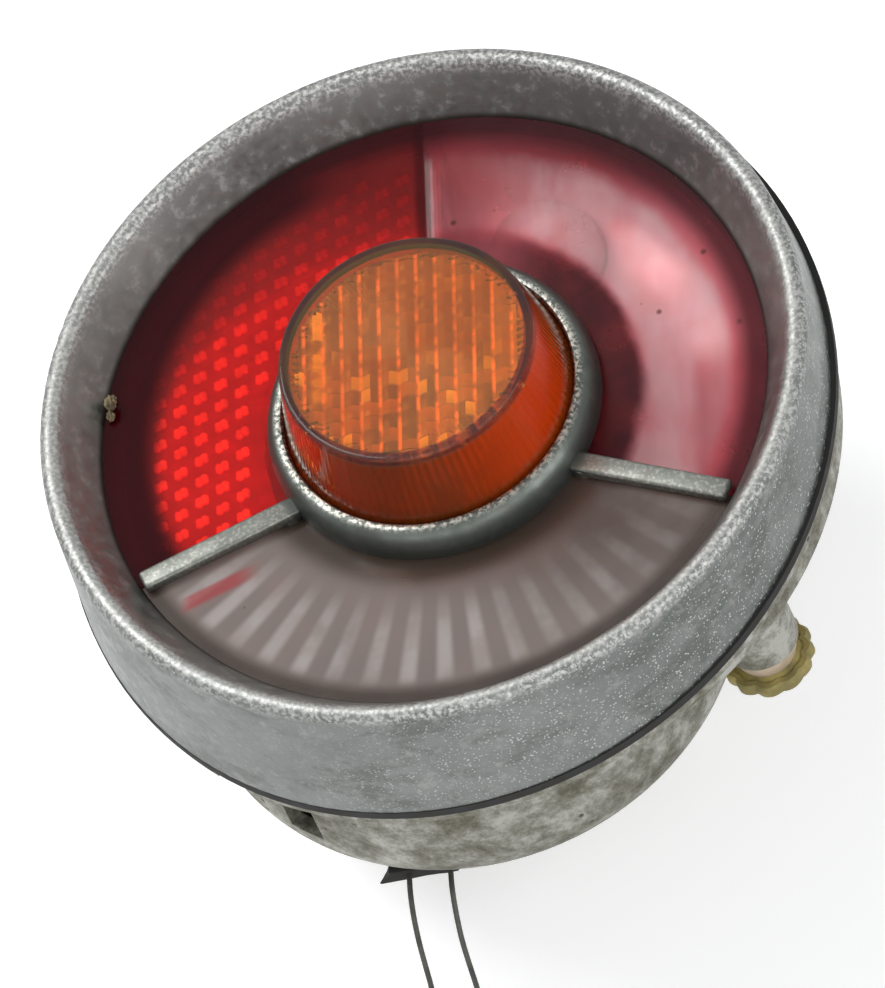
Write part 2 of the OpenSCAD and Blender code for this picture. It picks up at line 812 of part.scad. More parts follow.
module globe(k, r, up) {
    at_site(k)
        translate([0, 0, cap_up])
            difference() {
                union() {
                    cylinder(r = neck_glass_r, h = up - cap_up, $fn = 64);
                    translate([0, 0, up - cap_up]) sphere(r = r, $fn = 64);
                }
                translate([0, 0, -1]) cylinder(r = neck_glass_r - glass_t, h = up - cap_up + 1, $fn = 64);
                translate([0, 0, up - cap_up]) sphere(r = r - glass_t, $fn = 64);
                translate([0, 0, -50]) cube([60, 60, 100], center = true);
            }
}

// A glass stem with two supports for each coil
module filament(k, ups) {
    at_site(k)
        translate([0, 0, cap_up]) {
            cylinder(r = 2.6, h = 4, $fn = 32);
            for (i = [0 : len(ups) - 1]) {
                y = (i - (len(ups) - 1) / 2) * 2.4;
                for (x = [-2, 2])
                    translate([x * (len(ups) > 1 ? 0.8 : 1), y, 3])
                        cylinder(r = 0.3, h = ups[i] - cap_up - 2.6, $fn = 24);
                translate([-2, y, ups[i] - cap_up]) rotate([0, 90, 0]) cylinder(r = 0.4, h = 4, $fn = 24);
            }
        }
}

module harness_grommet() {
    lip = 3;
    color("darkkhaki")
        translate([spout_xy[0], spout_xy[1], spout_z])
            difference() {
                rotate_extrude()
                    polygon([[grommet_bore_r, spout_len - 1], [spout_bore_r - fit, spout_len - 1],
                        [spout_bore_r - fit, -0.05], [5.6, -0.05], [5.4, -2.6], [4.9, -3], [4.9, -4],
                        [grommet_r - 0.4, -4.2], [grommet_r, -4.8], [grommet_r, -6.4],
                        [grommet_r - 0.6, -7.2], [grommet_bore_r, -7.2]]);
                for (a = [0 : 33 : 329])
                    rotate([0, 0, a + 6 * sin(a * 3)])
                        translate([grommet_r + 0.75 + 0.25 * sin(a * 5), 0, -4.2 - lip - 1])
                            cylinder(r = 1.1, h = lip + 2, $fn = 24);
            }
}

module lead_boot() {
    color("black")
        difference() {
            union() {
                translate([boot_x - boot_w / 2, boot_y, boot_z - boot_h / 2])
                    cube([boot_w, boot_len, boot_h]);
                translate([boot_x - boot_w / 2 - 1.2, boot_y, boot_z - boot_h / 2])
                    cube([2, 2.2, 1.2]);
            }
            for (x = lead_xs)
                translate([x, boot_y - 1, boot_z])
                    rotate([-90, 0, 0]) cylinder(r = lead_d / 2 + 0.1, h = boot_len + 2, $fn = 24);
        }
}

// A smooth curve through points, three steps to a span
function spline_at(p, i, t) =
    let (a = p[max(i - 1, 0)], b = p[i], c = p[i + 1], d = p[min(i + 2, len(p) - 1)])
    0.5 * (2 * b + (c - a) * t + (2 * a - 5 * b + 4 * c - d) * t * t + (3 * b - a - 3 * c + d) * t * t * t);
function spline(p, steps) =
    concat([for (i = [0 : len(p) - 2]) for (s = [0 : steps - 1]) spline_at(p, i, s / steps)],
        [p[len(p) - 1]]);
function unit(v) = v / norm(v);

// A round tube swept along points that never run along X for long
module swept(points, r, sides) {
    n = len(points);
    verts = [for (i = [0 : n - 1])
        let (dir = unit(points[min(i + 1, n - 1)] - points[max(i - 1, 0)]),
            u = unit(cross(dir, [0.6, 0.1, 0.79])), w = cross(dir, u))
        for (k = [0 : sides - 1]) points[i] + r * (u * cos(360 * k / sides) + w * sin(360 * k / sides))];
    walls = [for (i = [0 : n - 2]) for (k = [0 : sides - 1])
        let (a = i * sides + k, b = i * sides + (k + 1) % sides)
        [a, b, b + sides, a + sides]];
    ends = [[for (k = [sides - 1 : -1 : 0]) k], [for (k = [0 : sides - 1]) (n - 1) * sides + k]];
    polyhedron(points = verts, faces = concat(walls, ends), convexity = 6);
}

module lead_left() {
    color("dimgray") swept(spline([for (p = drop_left) p + boot_shift], 3), lead_d / 2, 8);
}

module lead_right() {
    color("dimgray") swept(spline([for (p = drop_right) p + boot_shift], 3), lead_d / 2, 8);
}

// A route whose first end follows the boot and whose last follows its socket
function from_boot(p) =
    [for (i = [0 : len(p) - 1])
        let (t = i / (len(p) - 1)) p[i] + boot_shift * (1 - t) + socket_shift * t];

module inner_leads() {
    color("dimgray") {
        swept(spline(from_boot(inner_left), 3), lead_d / 2, 8);
        swept(spline(from_boot(inner_right), 3), lead_d / 2, 8);
    }
}

module amber_socket() { color("goldenrod") socket(0); }
module amber_insulator() { color("saddlebrown") insulator(0); }
module amber_plunger() { color("gold") plunger(0); }
module amber_spring() { color("silver") spring(0); }
module amber_cap() { color("gold") cap(0); }
module amber_glass() { color("lightcyan") globe(0, big_globe_r, big_globe_up); }
module amber_filament() { color("gray") filament(0, [big_globe_up]); }

module stop_socket() { color("goldenrod") socket(1); }
module stop_insulator() { color("saddlebrown") insulator(1); }
module stop_plunger() { color("gold") plunger(1); }
module stop_spring() { color("silver") spring(1); }
module stop_cap() { color("gold") cap(1); }
module stop_glass() { color("lightcyan") globe(1, small_globe_r, small_globe_up); }
module stop_filament() { color("gray") filament(1, [small_globe_up, small_globe_up + 2.5]); }

module reverse_socket() { color("goldenrod") socket(2); }
module reverse_insulator() { color("saddlebrown") insulator(2); }
module reverse_plunger() { color("gold") plunger(2); }
module reverse_spring() { color("silver") spring(2); }
module reverse_cap() { color("gold") cap(2); }
module reverse_glass() { color("lightcyan") globe(2, small_globe_r, small_globe_up); }
module reverse_filament() { color("gray") filament(2, [small_globe_up]); }

bezel();
centre_trim();
amber_lens();
red_lens();
clear_lens();
reflex_insert();
lens_gasket();
amber_gasket();
bezel_gasket();
reflector_pan();
light_baffles();
housing();
socket_plate();
plate_screws();
bezel_screws();
trim_screws();
mounting_studs();
harness_grommet();
lead_boot();
lead_left();
lead_right();
inner_leads();
amber_socket();
amber_insulator();
amber_plunger();
amber_spring();
amber_cap();
amber_glass();
amber_filament();
stop_socket();
stop_insulator();
stop_plunger();
stop_spring();
stop_cap();
stop_glass();
stop_filament();
reverse_socket();
reverse_insulator();
reverse_plunger();
reverse_spring();
reverse_cap();
reverse_glass();
reverse_filament();
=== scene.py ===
import math
import random

import bpy
from mathutils import Matrix, Vector


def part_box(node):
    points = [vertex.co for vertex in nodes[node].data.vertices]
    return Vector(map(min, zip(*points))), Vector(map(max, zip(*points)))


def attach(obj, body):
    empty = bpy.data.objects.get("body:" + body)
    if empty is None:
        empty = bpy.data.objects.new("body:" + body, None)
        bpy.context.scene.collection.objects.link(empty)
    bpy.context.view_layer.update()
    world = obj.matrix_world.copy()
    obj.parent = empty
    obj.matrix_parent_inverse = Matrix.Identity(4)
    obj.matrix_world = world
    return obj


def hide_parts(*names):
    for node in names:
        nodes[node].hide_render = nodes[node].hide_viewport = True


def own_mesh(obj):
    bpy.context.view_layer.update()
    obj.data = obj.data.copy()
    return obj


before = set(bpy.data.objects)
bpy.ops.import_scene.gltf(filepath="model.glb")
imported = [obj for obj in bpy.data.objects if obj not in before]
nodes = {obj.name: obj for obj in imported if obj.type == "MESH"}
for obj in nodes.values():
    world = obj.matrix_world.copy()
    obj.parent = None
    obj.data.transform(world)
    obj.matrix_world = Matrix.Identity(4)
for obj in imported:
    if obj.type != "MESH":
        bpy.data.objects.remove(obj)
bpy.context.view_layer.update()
lamp = "lamp"
print("frame loaded:", len(nodes), "nodes")

# Levels and radii shared by several pieces, in metres
lipTop = 0.070
lensTop = 0.0616
floorLevel = -0.018
windowRadius = 0.0536
hubRadius = 0.0253

# The centre trim's bars: degrees that they fall to each side, and how far below the axis they meet
spokeFall = 22.7
spokeDrop = 0.0048


def pick(*pieces):      # the first one becomes the active one
    bpy.ops.object.select_all(action="DESELECT")
    for piece in pieces:
        piece.select_set(True)
    bpy.context.view_layer.objects.active = pieces[0]


def intoEdit(piece, action="SELECT"):
    pick(piece)
    bpy.ops.object.mode_set(mode="EDIT")
    if action:
        bpy.ops.mesh.select_all(action=action)


def outOfEdit():
    bpy.ops.object.mode_set(mode="OBJECT")


def freeze():
    bpy.ops.object.transform_apply(location=True, rotation=True, scale=True)


# Camera: the photo's view through a very long lens, looking down on the lamp from below its axis
cameraSet = {
    "right": (0.9672, -0.0179, -0.2550),
    "up": (0.1536, 0.8387, 0.5220),
    "forward": (-0.2045, 0.5438, -0.8140),
    "distance": 5.0,
    "shiftRight": 0.00346,
    "shiftUp": -0.01773,
    "focal": 1170.2,
}


def makeCamera(s):
    right, up, ahead = Vector(s["right"]), Vector(s["up"]), Vector(s["forward"])
    ahead.normalize()
    right = (right - ahead * right.dot(ahead)).normalized()
    up = right.cross(ahead).normalized()
    target = Vector((0, 0, lipTop)) + right * s["shiftRight"] + up * s["shiftUp"]
    data = bpy.data.cameras.new("photoCamera")
    data.lens = s["focal"]
    data.sensor_width = 36
    data.clip_start = 0.1
    data.clip_end = 50
    cam = bpy.data.objects.new("photoCamera", data)
    bpy.context.scene.collection.objects.link(cam)
    turn = Matrix((right, up, -ahead)).transposed().to_4x4()
    cam.matrix_world = Matrix.Translation(target - ahead * s["distance"]) @ turn
    bpy.context.scene.camera = cam


makeCamera(cameraSet)
print("camera placed")

# The two leads: out of the boot, over the floor and on to bare ends, in millimetres
leadSet = {
    "width": 0.0009,
    "left": [(-20.5, -46.4, 2.3), (-20.5, -49.5, 1.9), (-20.5, -52.5, 0.3), (-20.5, -55.4, -2.7),
             (-20.5, -57.6, -6.5), (-20.6, -59.5, -11), (-20.8, -62, -15), (-20.6, -66, -17.2),
             (-19, -71, -17.55), (-14, -77, -17.55), (-6, -82, -17.55), (4, -86, -17.55)],
    "right": [(-13.8, -46.4, 2.3), (-13.8, -49.3, 1.8), (-13.8, -52.4, -0.1), (-13.8, -55.6, -3.6),
              (-13.7, -57.8, -7.6), (-13.6, -59.7, -12), (-13.4, -62.2, -15.6), (-12.8, -66, -17.3),
              (-11, -70, -17.55), (-5, -75, -17.55), (4, -79, -17.55), (14, -81, -17.55)],
    "strands": 5, "strandRadius": 0.00011, "bare": 0.007, "buried": 0.15,
    "twist": 2.2, "spread": 0.00022, "splay": 0.00010,
}


def smoothRoute(points, steps=3):
    p = [Vector(q) / 1000 for q in points]
    out = []
    for i in range(len(p) - 1):
        a, b, c, d = p[max(i - 1, 0)], p[i], p[i + 1], p[min(i + 2, len(p) - 1)]
        for k in range(steps):
            t = k / steps
            out.append(0.5 * (2 * b + (c - a) * t + (2 * a - 5 * b + 4 * c - d) * t * t
                              + (3 * b - a - 3 * c + d) * t ** 3))
    return out + [p[-1]]


def makeCurve(name, points, radius):
    data = bpy.data.curves.new(name, "CURVE")
    data.dimensions = "3D"
    data.bevel_depth = 1
    data.bevel_resolution = 3
    data.use_fill_caps = True
    line = data.splines.new("POLY")
    line.points.add(len(points) - 1)
    for spot, p in zip(line.points, points):
        spot.co = (*p, 1)
        spot.radius = radius
    piece = bpy.data.objects.new(name, data)
    bpy.context.scene.collection.objects.link(piece)
    return piece


def makeStrands(name, end, ahead, s):
    bundle = []
    above = Vector((0, 0, 1))
    side = ahead.cross(above).normalized()
    for k in range(s["strands"]):
        path = []
        for j in range(9):
            share = j / 8
            angle = 2 * math.pi * k / s["strands"] + s["twist"] * share
            wide = s["spread"] + s["splay"] * share ** 2
            out = (side * math.cos(angle) + above * math.sin(angle)) * wide
            path.append(end + ahead * s["bare"] * (share - s["buried"]) + out)
        bundle.append(makeCurve(name + str(k), path, s["strandRadius"]))
    pick(*bundle)
    bpy.ops.object.convert(target="MESH")
    bpy.ops.object.join()
    bundle[0].name = name
    return bundle[0]


def makeLead(side, s):
    route = smoothRoute(s[side])
    cord = makeCurve("leadCord" + side.capitalize(), route, s["width"] / 2)
    ends = makeStrands("bareWire" + side.capitalize(), route[-1], (route[-1] - route[-2]).normalized(), s)
    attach(cord, lamp)
    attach(ends, lamp)
    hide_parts("lead_" + side)
    return cord, ends


leads = {side: makeLead(side, leadSet) for side in ("left", "right")}
print("leads laid")


# Materials: newFinish starts one on the bench, and each small function below adds its nodes there
bench = {"finish": None, "tree": None}


def newNode(kind):
    return bench["tree"].nodes.new("ShaderNode" + kind)


def put(value, node, socket):
    target = node.inputs[socket]
    if isinstance(value, (int, float)):
        target.default_value = value
    elif isinstance(value, tuple):
        target.default_value = (*value, 1)
    else:
        bench["tree"].links.new(value, target)


def newFinish(name):
    finish = bpy.data.materials.new(name)
    finish.use_nodes = True
    bench.update(finish=finish, tree=finish.node_tree)
    return newNode("TexCoord").outputs["Object"]


def noiseAt(where, scale, detail=4.0, rough=0.55, stretch=None):
    if stretch:
        squeeze = newNode("Mapping")
        squeeze.inputs["Scale"].default_value = stretch
        put(where, squeeze, "Vector")
        where = squeeze.outputs["Vector"]
    n = newNode("TexNoise")
    for value, socket in ((where, "Vector"), (scale, "Scale"), (detail, "Detail"), (rough, "Roughness")):
        put(value, n, socket)
    return n.outputs["Fac"]


def cellsAt(where, scale):
    n = newNode("TexVoronoi")
    put(scale, n, "Scale")
    put(where, n, "Vector")
    return n.outputs["Distance"]


def rampOf(value, stops):
    n = newNode("ValToRGB")
    while len(n.color_ramp.elements) < len(stops):
        n.color_ramp.elements.new(0.5)
    for e, (at, colour) in zip(n.color_ramp.elements, stops):
        e.position = at
        e.color = (*colour, 1)
    put(value, n, "Fac")
    return n.outputs["Color"]


# A smooth step: outLow up to low, outHigh from high on, and the other way round where low is above high
def spanOf(value, low, high, outLow=0.0, outHigh=1.0):
    n = newNode("MapRange")
    n.interpolation_type = "SMOOTHSTEP"
    for number, socket in ((low, "From Min"), (high, "From Max"), (outLow, "To Min"), (outHigh, "To Max")):
        put(number, n, socket)
    put(value, n, "Value")
    return n.outputs["Result"]


# Roughness between two ends, following a cloud or a grain
def roughOf(value, ends):
    return spanOf(value, 0.3, 0.7, *ends)


def mixOf(amount, a, b):
    n = newNode("Mix")
    n.data_type = "RGBA"
    for value, socket in ((amount, "Factor"), (a, 6), (b, 7)):
        put(value, n, socket)
    return n.outputs[2]


def mathOf(kind, a, b=0.0):
    n = newNode("Math")
    n.operation = kind
    put(a, n, 0)
    put(b, n, 1)
    return n.outputs["Value"]


def timesOf(*values):
    out = values[0]
    for v in values[1:]:
        out = mathOf("MULTIPLY", out, v)
    return out


def plusOf(a, b):
    return mathOf("ADD", a, b)


def minusOf(a, b):
    return mathOf("SUBTRACT", a, b)


# One between two smooth steps: in over the first two ends, out over the last two
def bandOf(value, ends):
    return timesOf(spanOf(value, *ends[:2]), spanOf(value, *ends[2:]))


def axesOf(where):
    n = newNode("SeparateXYZ")
    put(where, n, "Vector")
    return n.outputs["X"], n.outputs["Y"], n.outputs["Z"]


def distanceOf(where, centre=(0, 0)):
    x, y, z = axesOf(where)
    dx, dy = minusOf(x, centre[0]), minusOf(y, centre[1])
    return mathOf("SQRT", plusOf(timesOf(dx, dx), timesOf(dy, dy)))


def angleOf(where):
    x, y, z = axesOf(where)
    return mathOf("ARCTAN2", y, x)


def wavesOf(value, count):
    return timesOf(plusOf(mathOf("COSINE", timesOf(value, count)), 1.0), 0.5)


# A random value for each tile, from the tile's column and row
def chanceOf(column, row, seed):
    place, chance = newNode("CombineXYZ"), newNode("TexWhiteNoise")
    put(mathOf("FLOOR", column), place, "X")
    put(mathOf("FLOOR", row), place, "Y")
    put(seed, place, "Z")
    chance.noise_dimensions = "3D"
    put(place.outputs["Vector"], chance, "Vector")
    return chance.outputs["Value"]


# How far a point lies towards a direction in the lens plane, in metres
def towardsOf(where, degrees):
    x, y, z = axesOf(where)
    turn = math.radians(degrees)
    return plusOf(timesOf(x, math.cos(turn)), timesOf(y, math.sin(turn)))


# Ends a finish: sets the shader's sockets, and its bump's strength and distance where it has one
def coat(base, rough, sockets, height=None, bump=None):
    shader = bench["tree"].nodes["Principled BSDF"]
    for socket, value in {"Base Color": base, "Roughness": rough, **sockets}.items():
        put(value, shader, socket)
    if bump:
        n = newNode("Bump")
        for socket, value in (("Strength", bump[0]), ("Distance", bump[1]), ("Height", height)):
            put(value, n, socket)
        put(n.outputs["Normal"], shader, "Normal")
    return bench["finish"]


def dropFaces(piece, wanted):
    intoEdit(piece, "DESELECT")
    outOfEdit()
    for face in piece.data.polygons:
        face.select = wanted(face)
    intoEdit(piece, None)
    bpy.ops.mesh.delete(type="FACE")
    outOfEdit()


def drillThrough(piece, places, radius, depth, level, around):
    drills = []
    for x, y in places:
        bpy.ops.mesh.primitive_cylinder_add(vertices=around, radius=radius, depth=depth,
                                            location=(x, y, level))
        drills.append(bpy.context.object)
        hole = piece.modifiers.new("hole", "BOOLEAN")
        hole.operation = "DIFFERENCE"
        hole.object = drills[-1]
    applyModifiers(piece)
    for drill in drills:
        bpy.data.objects.remove(drill)


def dress(piece, mat):
    piece.data.materials.clear()
    piece.data.materials.append(mat)


# Steps that several pieces share, such as a circle drawn up through a profile
def turnedPiece(name, profile, around):
    (firstRadius, firstLevel), rest = profile[0], profile[1:]
    bpy.ops.mesh.primitive_circle_add(vertices=around, radius=firstRadius, location=(0, 0, firstLevel))
    piece = bpy.context.object
    piece.name = name
    freeze()
    intoEdit(piece)
    radius, level = firstRadius, firstLevel
    for nextRadius, nextLevel in rest:
        rise = (0, 0, nextLevel - level)
        bpy.ops.mesh.extrude_edges_move(TRANSFORM_OT_translate={"value": rise})
        grow = nextRadius / radius
        bpy.ops.transform.resize(value=(grow, grow, 1), center_override=(0, 0, nextLevel))
        radius, level = nextRadius, nextLevel
    bpy.ops.mesh.select_all(action="SELECT")
    bpy.ops.mesh.region_to_loop()
    bpy.ops.mesh.bridge_edge_loops()
    bpy.ops.mesh.select_all(action="SELECT")
    bpy.ops.mesh.normals_make_consistent(inside=False)
    outOfEdit()
    return piece


def settle(piece, mat, angle):
    pick(piece)
    freeze()
    bpy.ops.object.shade_smooth_by_angle(angle=math.radians(angle))
    dress(piece, mat)
    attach(piece, lamp)


def joinAll(name, pieces):
    pick(*pieces)
    bpy.ops.object.join()
    pieces[0].name = name
    return pieces[0]


def copyOf(piece, place):
    twin = piece.copy()
    twin.data = piece.data.copy()
    bpy.context.scene.collection.objects.link(twin)
    twin.location = place
    return twin


def applyModifiers(piece):
    pick(piece)
    for modifier in list(piece.modifiers):
        bpy.ops.object.modifier_apply(modifier=modifier.name)


# Worn grey chrome over zinc: a sandy lip, lighter partly from a painted highlight, satin outside, pits
# where the plating has gone, and painted shade towards the top of the inner wall
rimSet = {
    "inner": (0.27, 0.275, 0.26),
    "outer": (0.19, 0.20, 0.192),
    "dark": (0.11, 0.113, 0.112),
    "lip": (0.42, 0.42, 0.405),
    "pit": (0.50, 0.515, 0.50),
    "smear": (0.10, 0.11, 0.10),
    "foot": (0.03, 0.025, 0.02),
    "rough": (0.30, 0.50),
    "wallFrom": (0.0602, 0.0612), "streaksFrom": (0.0605, 0.0612), "pitsFrom": (0.0598, 0.0604),
    "footRadius": (0.0550, 0.0560), "footRise": 0.0011, "sandFrom": (0.0590, 0.0605),
    "lipFrom": (0.0676, 0.0694), "lipRough": (0.0672, 0.0694), "topShade": (0.015, 0.050),
    "pitSide": -38, "pitReach": (0.036, 0.085), "pitDeep": 0.8, "pitRough": 0.3,
    "cloudScale": 70, "streakScale": 55, "grainScale": 420, "fineScale": 1500, "pitScale": 1700,
    "metal": 0.9, "bump": (0.35, 0.00025),
}


def rimFinish(s):
    where = newFinish("rimMetal")
    x, y, z = axesOf(where)
    r = distanceOf(where)
    cloud = noiseAt(where, s["cloudScale"], 6, 0.62)
    fine = noiseAt(where, s["fineScale"], 3)
    grain = noiseAt(where, s["grainScale"], 5, 0.7)
    # Painted shade: the inner wall darker towards its top
    inner = mixOf(spanOf(y, *s["topShade"], 0.0, 0.75), s["inner"], s["dark"])
    base = mixOf(spanOf(r, *s["wallFrom"]), inner, s["outer"])
    base = mixOf(spanOf(cloud, 0.36, 0.60, 0.42, 0.0), base, s["dark"])
    streaky = noiseAt(where, s["streakScale"], 6, 0.7, (1.0, 1.0, 2.2))
    streaks = timesOf(spanOf(streaky, 0.48, 0.62, 0.0, 0.8), spanOf(r, *s["streaksFrom"]))
    base = mixOf(streaks, base, s["smear"])
    base = mixOf(spanOf(grain, 0.52, 0.70, 0.0, 0.35), base, s["lip"])
    # The lip's crest is lighter: sandy wear, and partly a painted highlight
    lip = timesOf(spanOf(z, *s["lipFrom"]), spanOf(fine, 0.40, 0.64, 0.05, 0.9))
    base = mixOf(lip, base, s["lip"])
    # White pits, thick at the lower right, thinner elsewhere
    side = plusOf(towardsOf(where, s["pitSide"]), timesOf(cloud, 0.06))
    here = mathOf("MAXIMUM", spanOf(side, *s["pitReach"]), spanOf(cloud, 0.54, 0.66, 0.0, 0.75))
    specks = plusOf(cellsAt(where, s["pitScale"]), timesOf(grain, 0.9))
    pits = timesOf(spanOf(specks, 0.56, 0.74, 1.0, 0.0), here, spanOf(r, *s["pitsFrom"]))
    base = mixOf(pits, base, s["pit"])
    # A near-black band in the corner at the foot of the inner wall
    foot = timesOf(spanOf(z, lensTop, lensTop + s["footRise"], 1.0, 0.0),
                   spanOf(r, *s["footRadius"], 1.0, 0.0))
    base = mixOf(foot, base, s["foot"])
    rough = plusOf(roughOf(grain, s["rough"]), timesOf(pits, s["pitRough"]))
    rough = plusOf(rough, spanOf(z, *s["lipRough"], 0.0, 0.10))
    rolling = timesOf(grain, spanOf(r, *s["sandFrom"], 0.25, 0.7))      # the inner wall is smoother
    metal = minusOf(s["metal"], timesOf(pits, 0.6))
    return coat(base, rough, {"Metallic": metal}, minusOf(rolling, timesOf(pits, s["pitDeep"])), s["bump"])


dress(nodes["bezel"], rimFinish(rimSet))

# Centre trim: a rounded cast ring with two bars on legs, greenish grey, sandy where the plating has pitted
trimSet = {
    "ring": [(24.24, 60.30), (23.46, 64.60), (23.50, 65.25), (23.80, 65.62), (24.30, 65.70),
             (24.90, 65.50), (25.50, 65.02), (26.02, 64.35), (26.40, 63.50), (26.66, 62.60),
             (26.80, 61.60), (26.80, 60.30)],
    "barIn": 0.0239, "barOut": 0.05106, "barLow": (0.06035, 0.06164), "barTop": (0.06268, 0.06354),
    "barWidth": 0.0035, "chamfer": 0.0006,
    "legAlong": 0.0258, "legRadius": 0.0019, "legFoot": 0.0556, "legHead": 0.0620,
    "crestFrom": (0.0254, 0.0240), "crestLevel": (0.0640, 0.0650), "barsFrom": (0.0275, 0.0290),
    "fineScale": 1700, "cloudScale": 160, "metal": 0.85, "bump": (0.22, 0.00025),
    "base": (0.130, 0.143, 0.131),
    "dark": (0.056, 0.062, 0.055),
    "sand": (0.54, 0.53, 0.475),
    "rough": (0.34, 0.52),
}


def trimFinish(s):
    where = newFinish("trimMetal")
    x, y, z = axesOf(where)
    r = distanceOf(where)
    fine = noiseAt(where, s["fineScale"], 3)
    cloud = noiseAt(where, s["cloudScale"], 5)
    base = mixOf(spanOf(cloud, 0.35, 0.65, 0.0, 0.6), s["base"], s["dark"])
    crest = timesOf(spanOf(r, *s["crestFrom"]), spanOf(z, *s["crestLevel"]), spanOf(fine, 0.42, 0.60))
    bars = timesOf(spanOf(r, *s["barsFrom"]), spanOf(fine, 0.45, 0.70, 0.15, 0.42))
    base = mixOf(mathOf("MAXIMUM", crest, bars), base, s["sand"])
    return coat(base, roughOf(cloud, s["rough"]), {"Metallic": s["metal"]},
                plusOf(timesOf(fine, 0.5), cloud), s["bump"])


def makeTrim(s):
    casting = [turnedPiece("trimCasting", [(r / 1000, z / 1000) for r, z in s["ring"]], 192)]
    for side in (1, -1):
        turn = math.radians(-spokeFall if side > 0 else 180 + spokeFall)
        bpy.ops.mesh.primitive_cube_add(size=1)
        bar = bpy.context.object
        for v in bar.data.vertices:
            end = 1 if v.co.x > 0 else 0
            along = s["barOut"] if end else s["barIn"]
            v.co = (along, v.co.y * s["barWidth"], s["barTop"][end] if v.co.z > 0 else s["barLow"][end])
        soft = bar.modifiers.new("softEdges", "BEVEL")
        soft.width = s["chamfer"]
        soft.segments = 3
        applyModifiers(bar)
        reach = s["legHead"] - s["legFoot"]
        bpy.ops.mesh.primitive_cylinder_add(vertices=32, radius=s["legRadius"], depth=reach,
                                            location=(s["legAlong"], 0, s["legFoot"] + reach / 2))
        arm = joinAll("arm", [bar, bpy.context.object])
        freeze()
        arm.rotation_euler.z = turn
        arm.location.y = -spokeDrop
        casting.append(arm)
    piece = joinAll("trimCasting", casting)
    settle(piece, trimFinish(s), 40)
    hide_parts("centre_trim")


makeTrim(trimSet)

# Red lens: deep red at the left; at the right a pale pink painted for the silvered trough beneath, and
# hazy; painted shade at its edge
redSet = {
    "deep": (0.83, 0.065, 0.060),
    "paintedTroughPink": (0.86, 0.30, 0.35),
    "pale": (0.95, 0.71, 0.72),
    "edge": (0.12, 0.008, 0.018),
    "hub": (0.10, 0.006, 0.014),
    "shade": (0.52, 0.10, 0.13),
    "strip": (0.98, 0.88, 0.88),
    "dust": (0.16, 0.08, 0.07),
    "through": 0.82,
    "rough": (0.06, 0.14),
    "hazyRough": (0.19, 0.28),
    "gloss": 0.22,
    "bend": 1.19,
    "bandIn": (0.0346, 0.0374), "bandOut": (0.0464, 0.0438), "bandFrom": (0.004, 0.020),
    "hubFrom": (0.0356, 0.0336), "hubSide": (0.008, 0.020),
    "shadeTop": (0.025, 0.043), "deepShadeTop": (0.032, 0.046),
    "cornerX": (0.0400, 0.0430), "cornerY": (0.0060, -0.0010),
    "split": (-0.0011, -0.0007), "seamFrom": (0.0300, 0.0320), "stripEnd": (0.0475, 0.0455),
    "darkLine": (-0.0030, -0.0020, -0.0007, -0.0011), "paleLine": (-0.0009, -0.0006, 0.0006, 0.0003),
    "edgeFrom": (0.0476, 0.0516), "marginFrom": (0.0435, 0.0480), "marginSide": (-0.010, -0.024),
    "hazySide": (-0.001, 0.010), "topLevel": (0.0593, 0.0598),
    "cloudScale": 110, "wispScale": 90, "dustScale": 120, "dustSize": 0.040, "bump": (0.03, 0.0001),
    "specks": [(0.0363, 0.0118), (0.0035, 0.0346), (0.0438, 0.0213), (0.0493, 0.0073)],
    "speckSize": (0.00025, 0.00065),
}


def dustOn(where, scale, size):
    return spanOf(cellsAt(where, scale), size * 0.5, size, 1.0, 0.0)


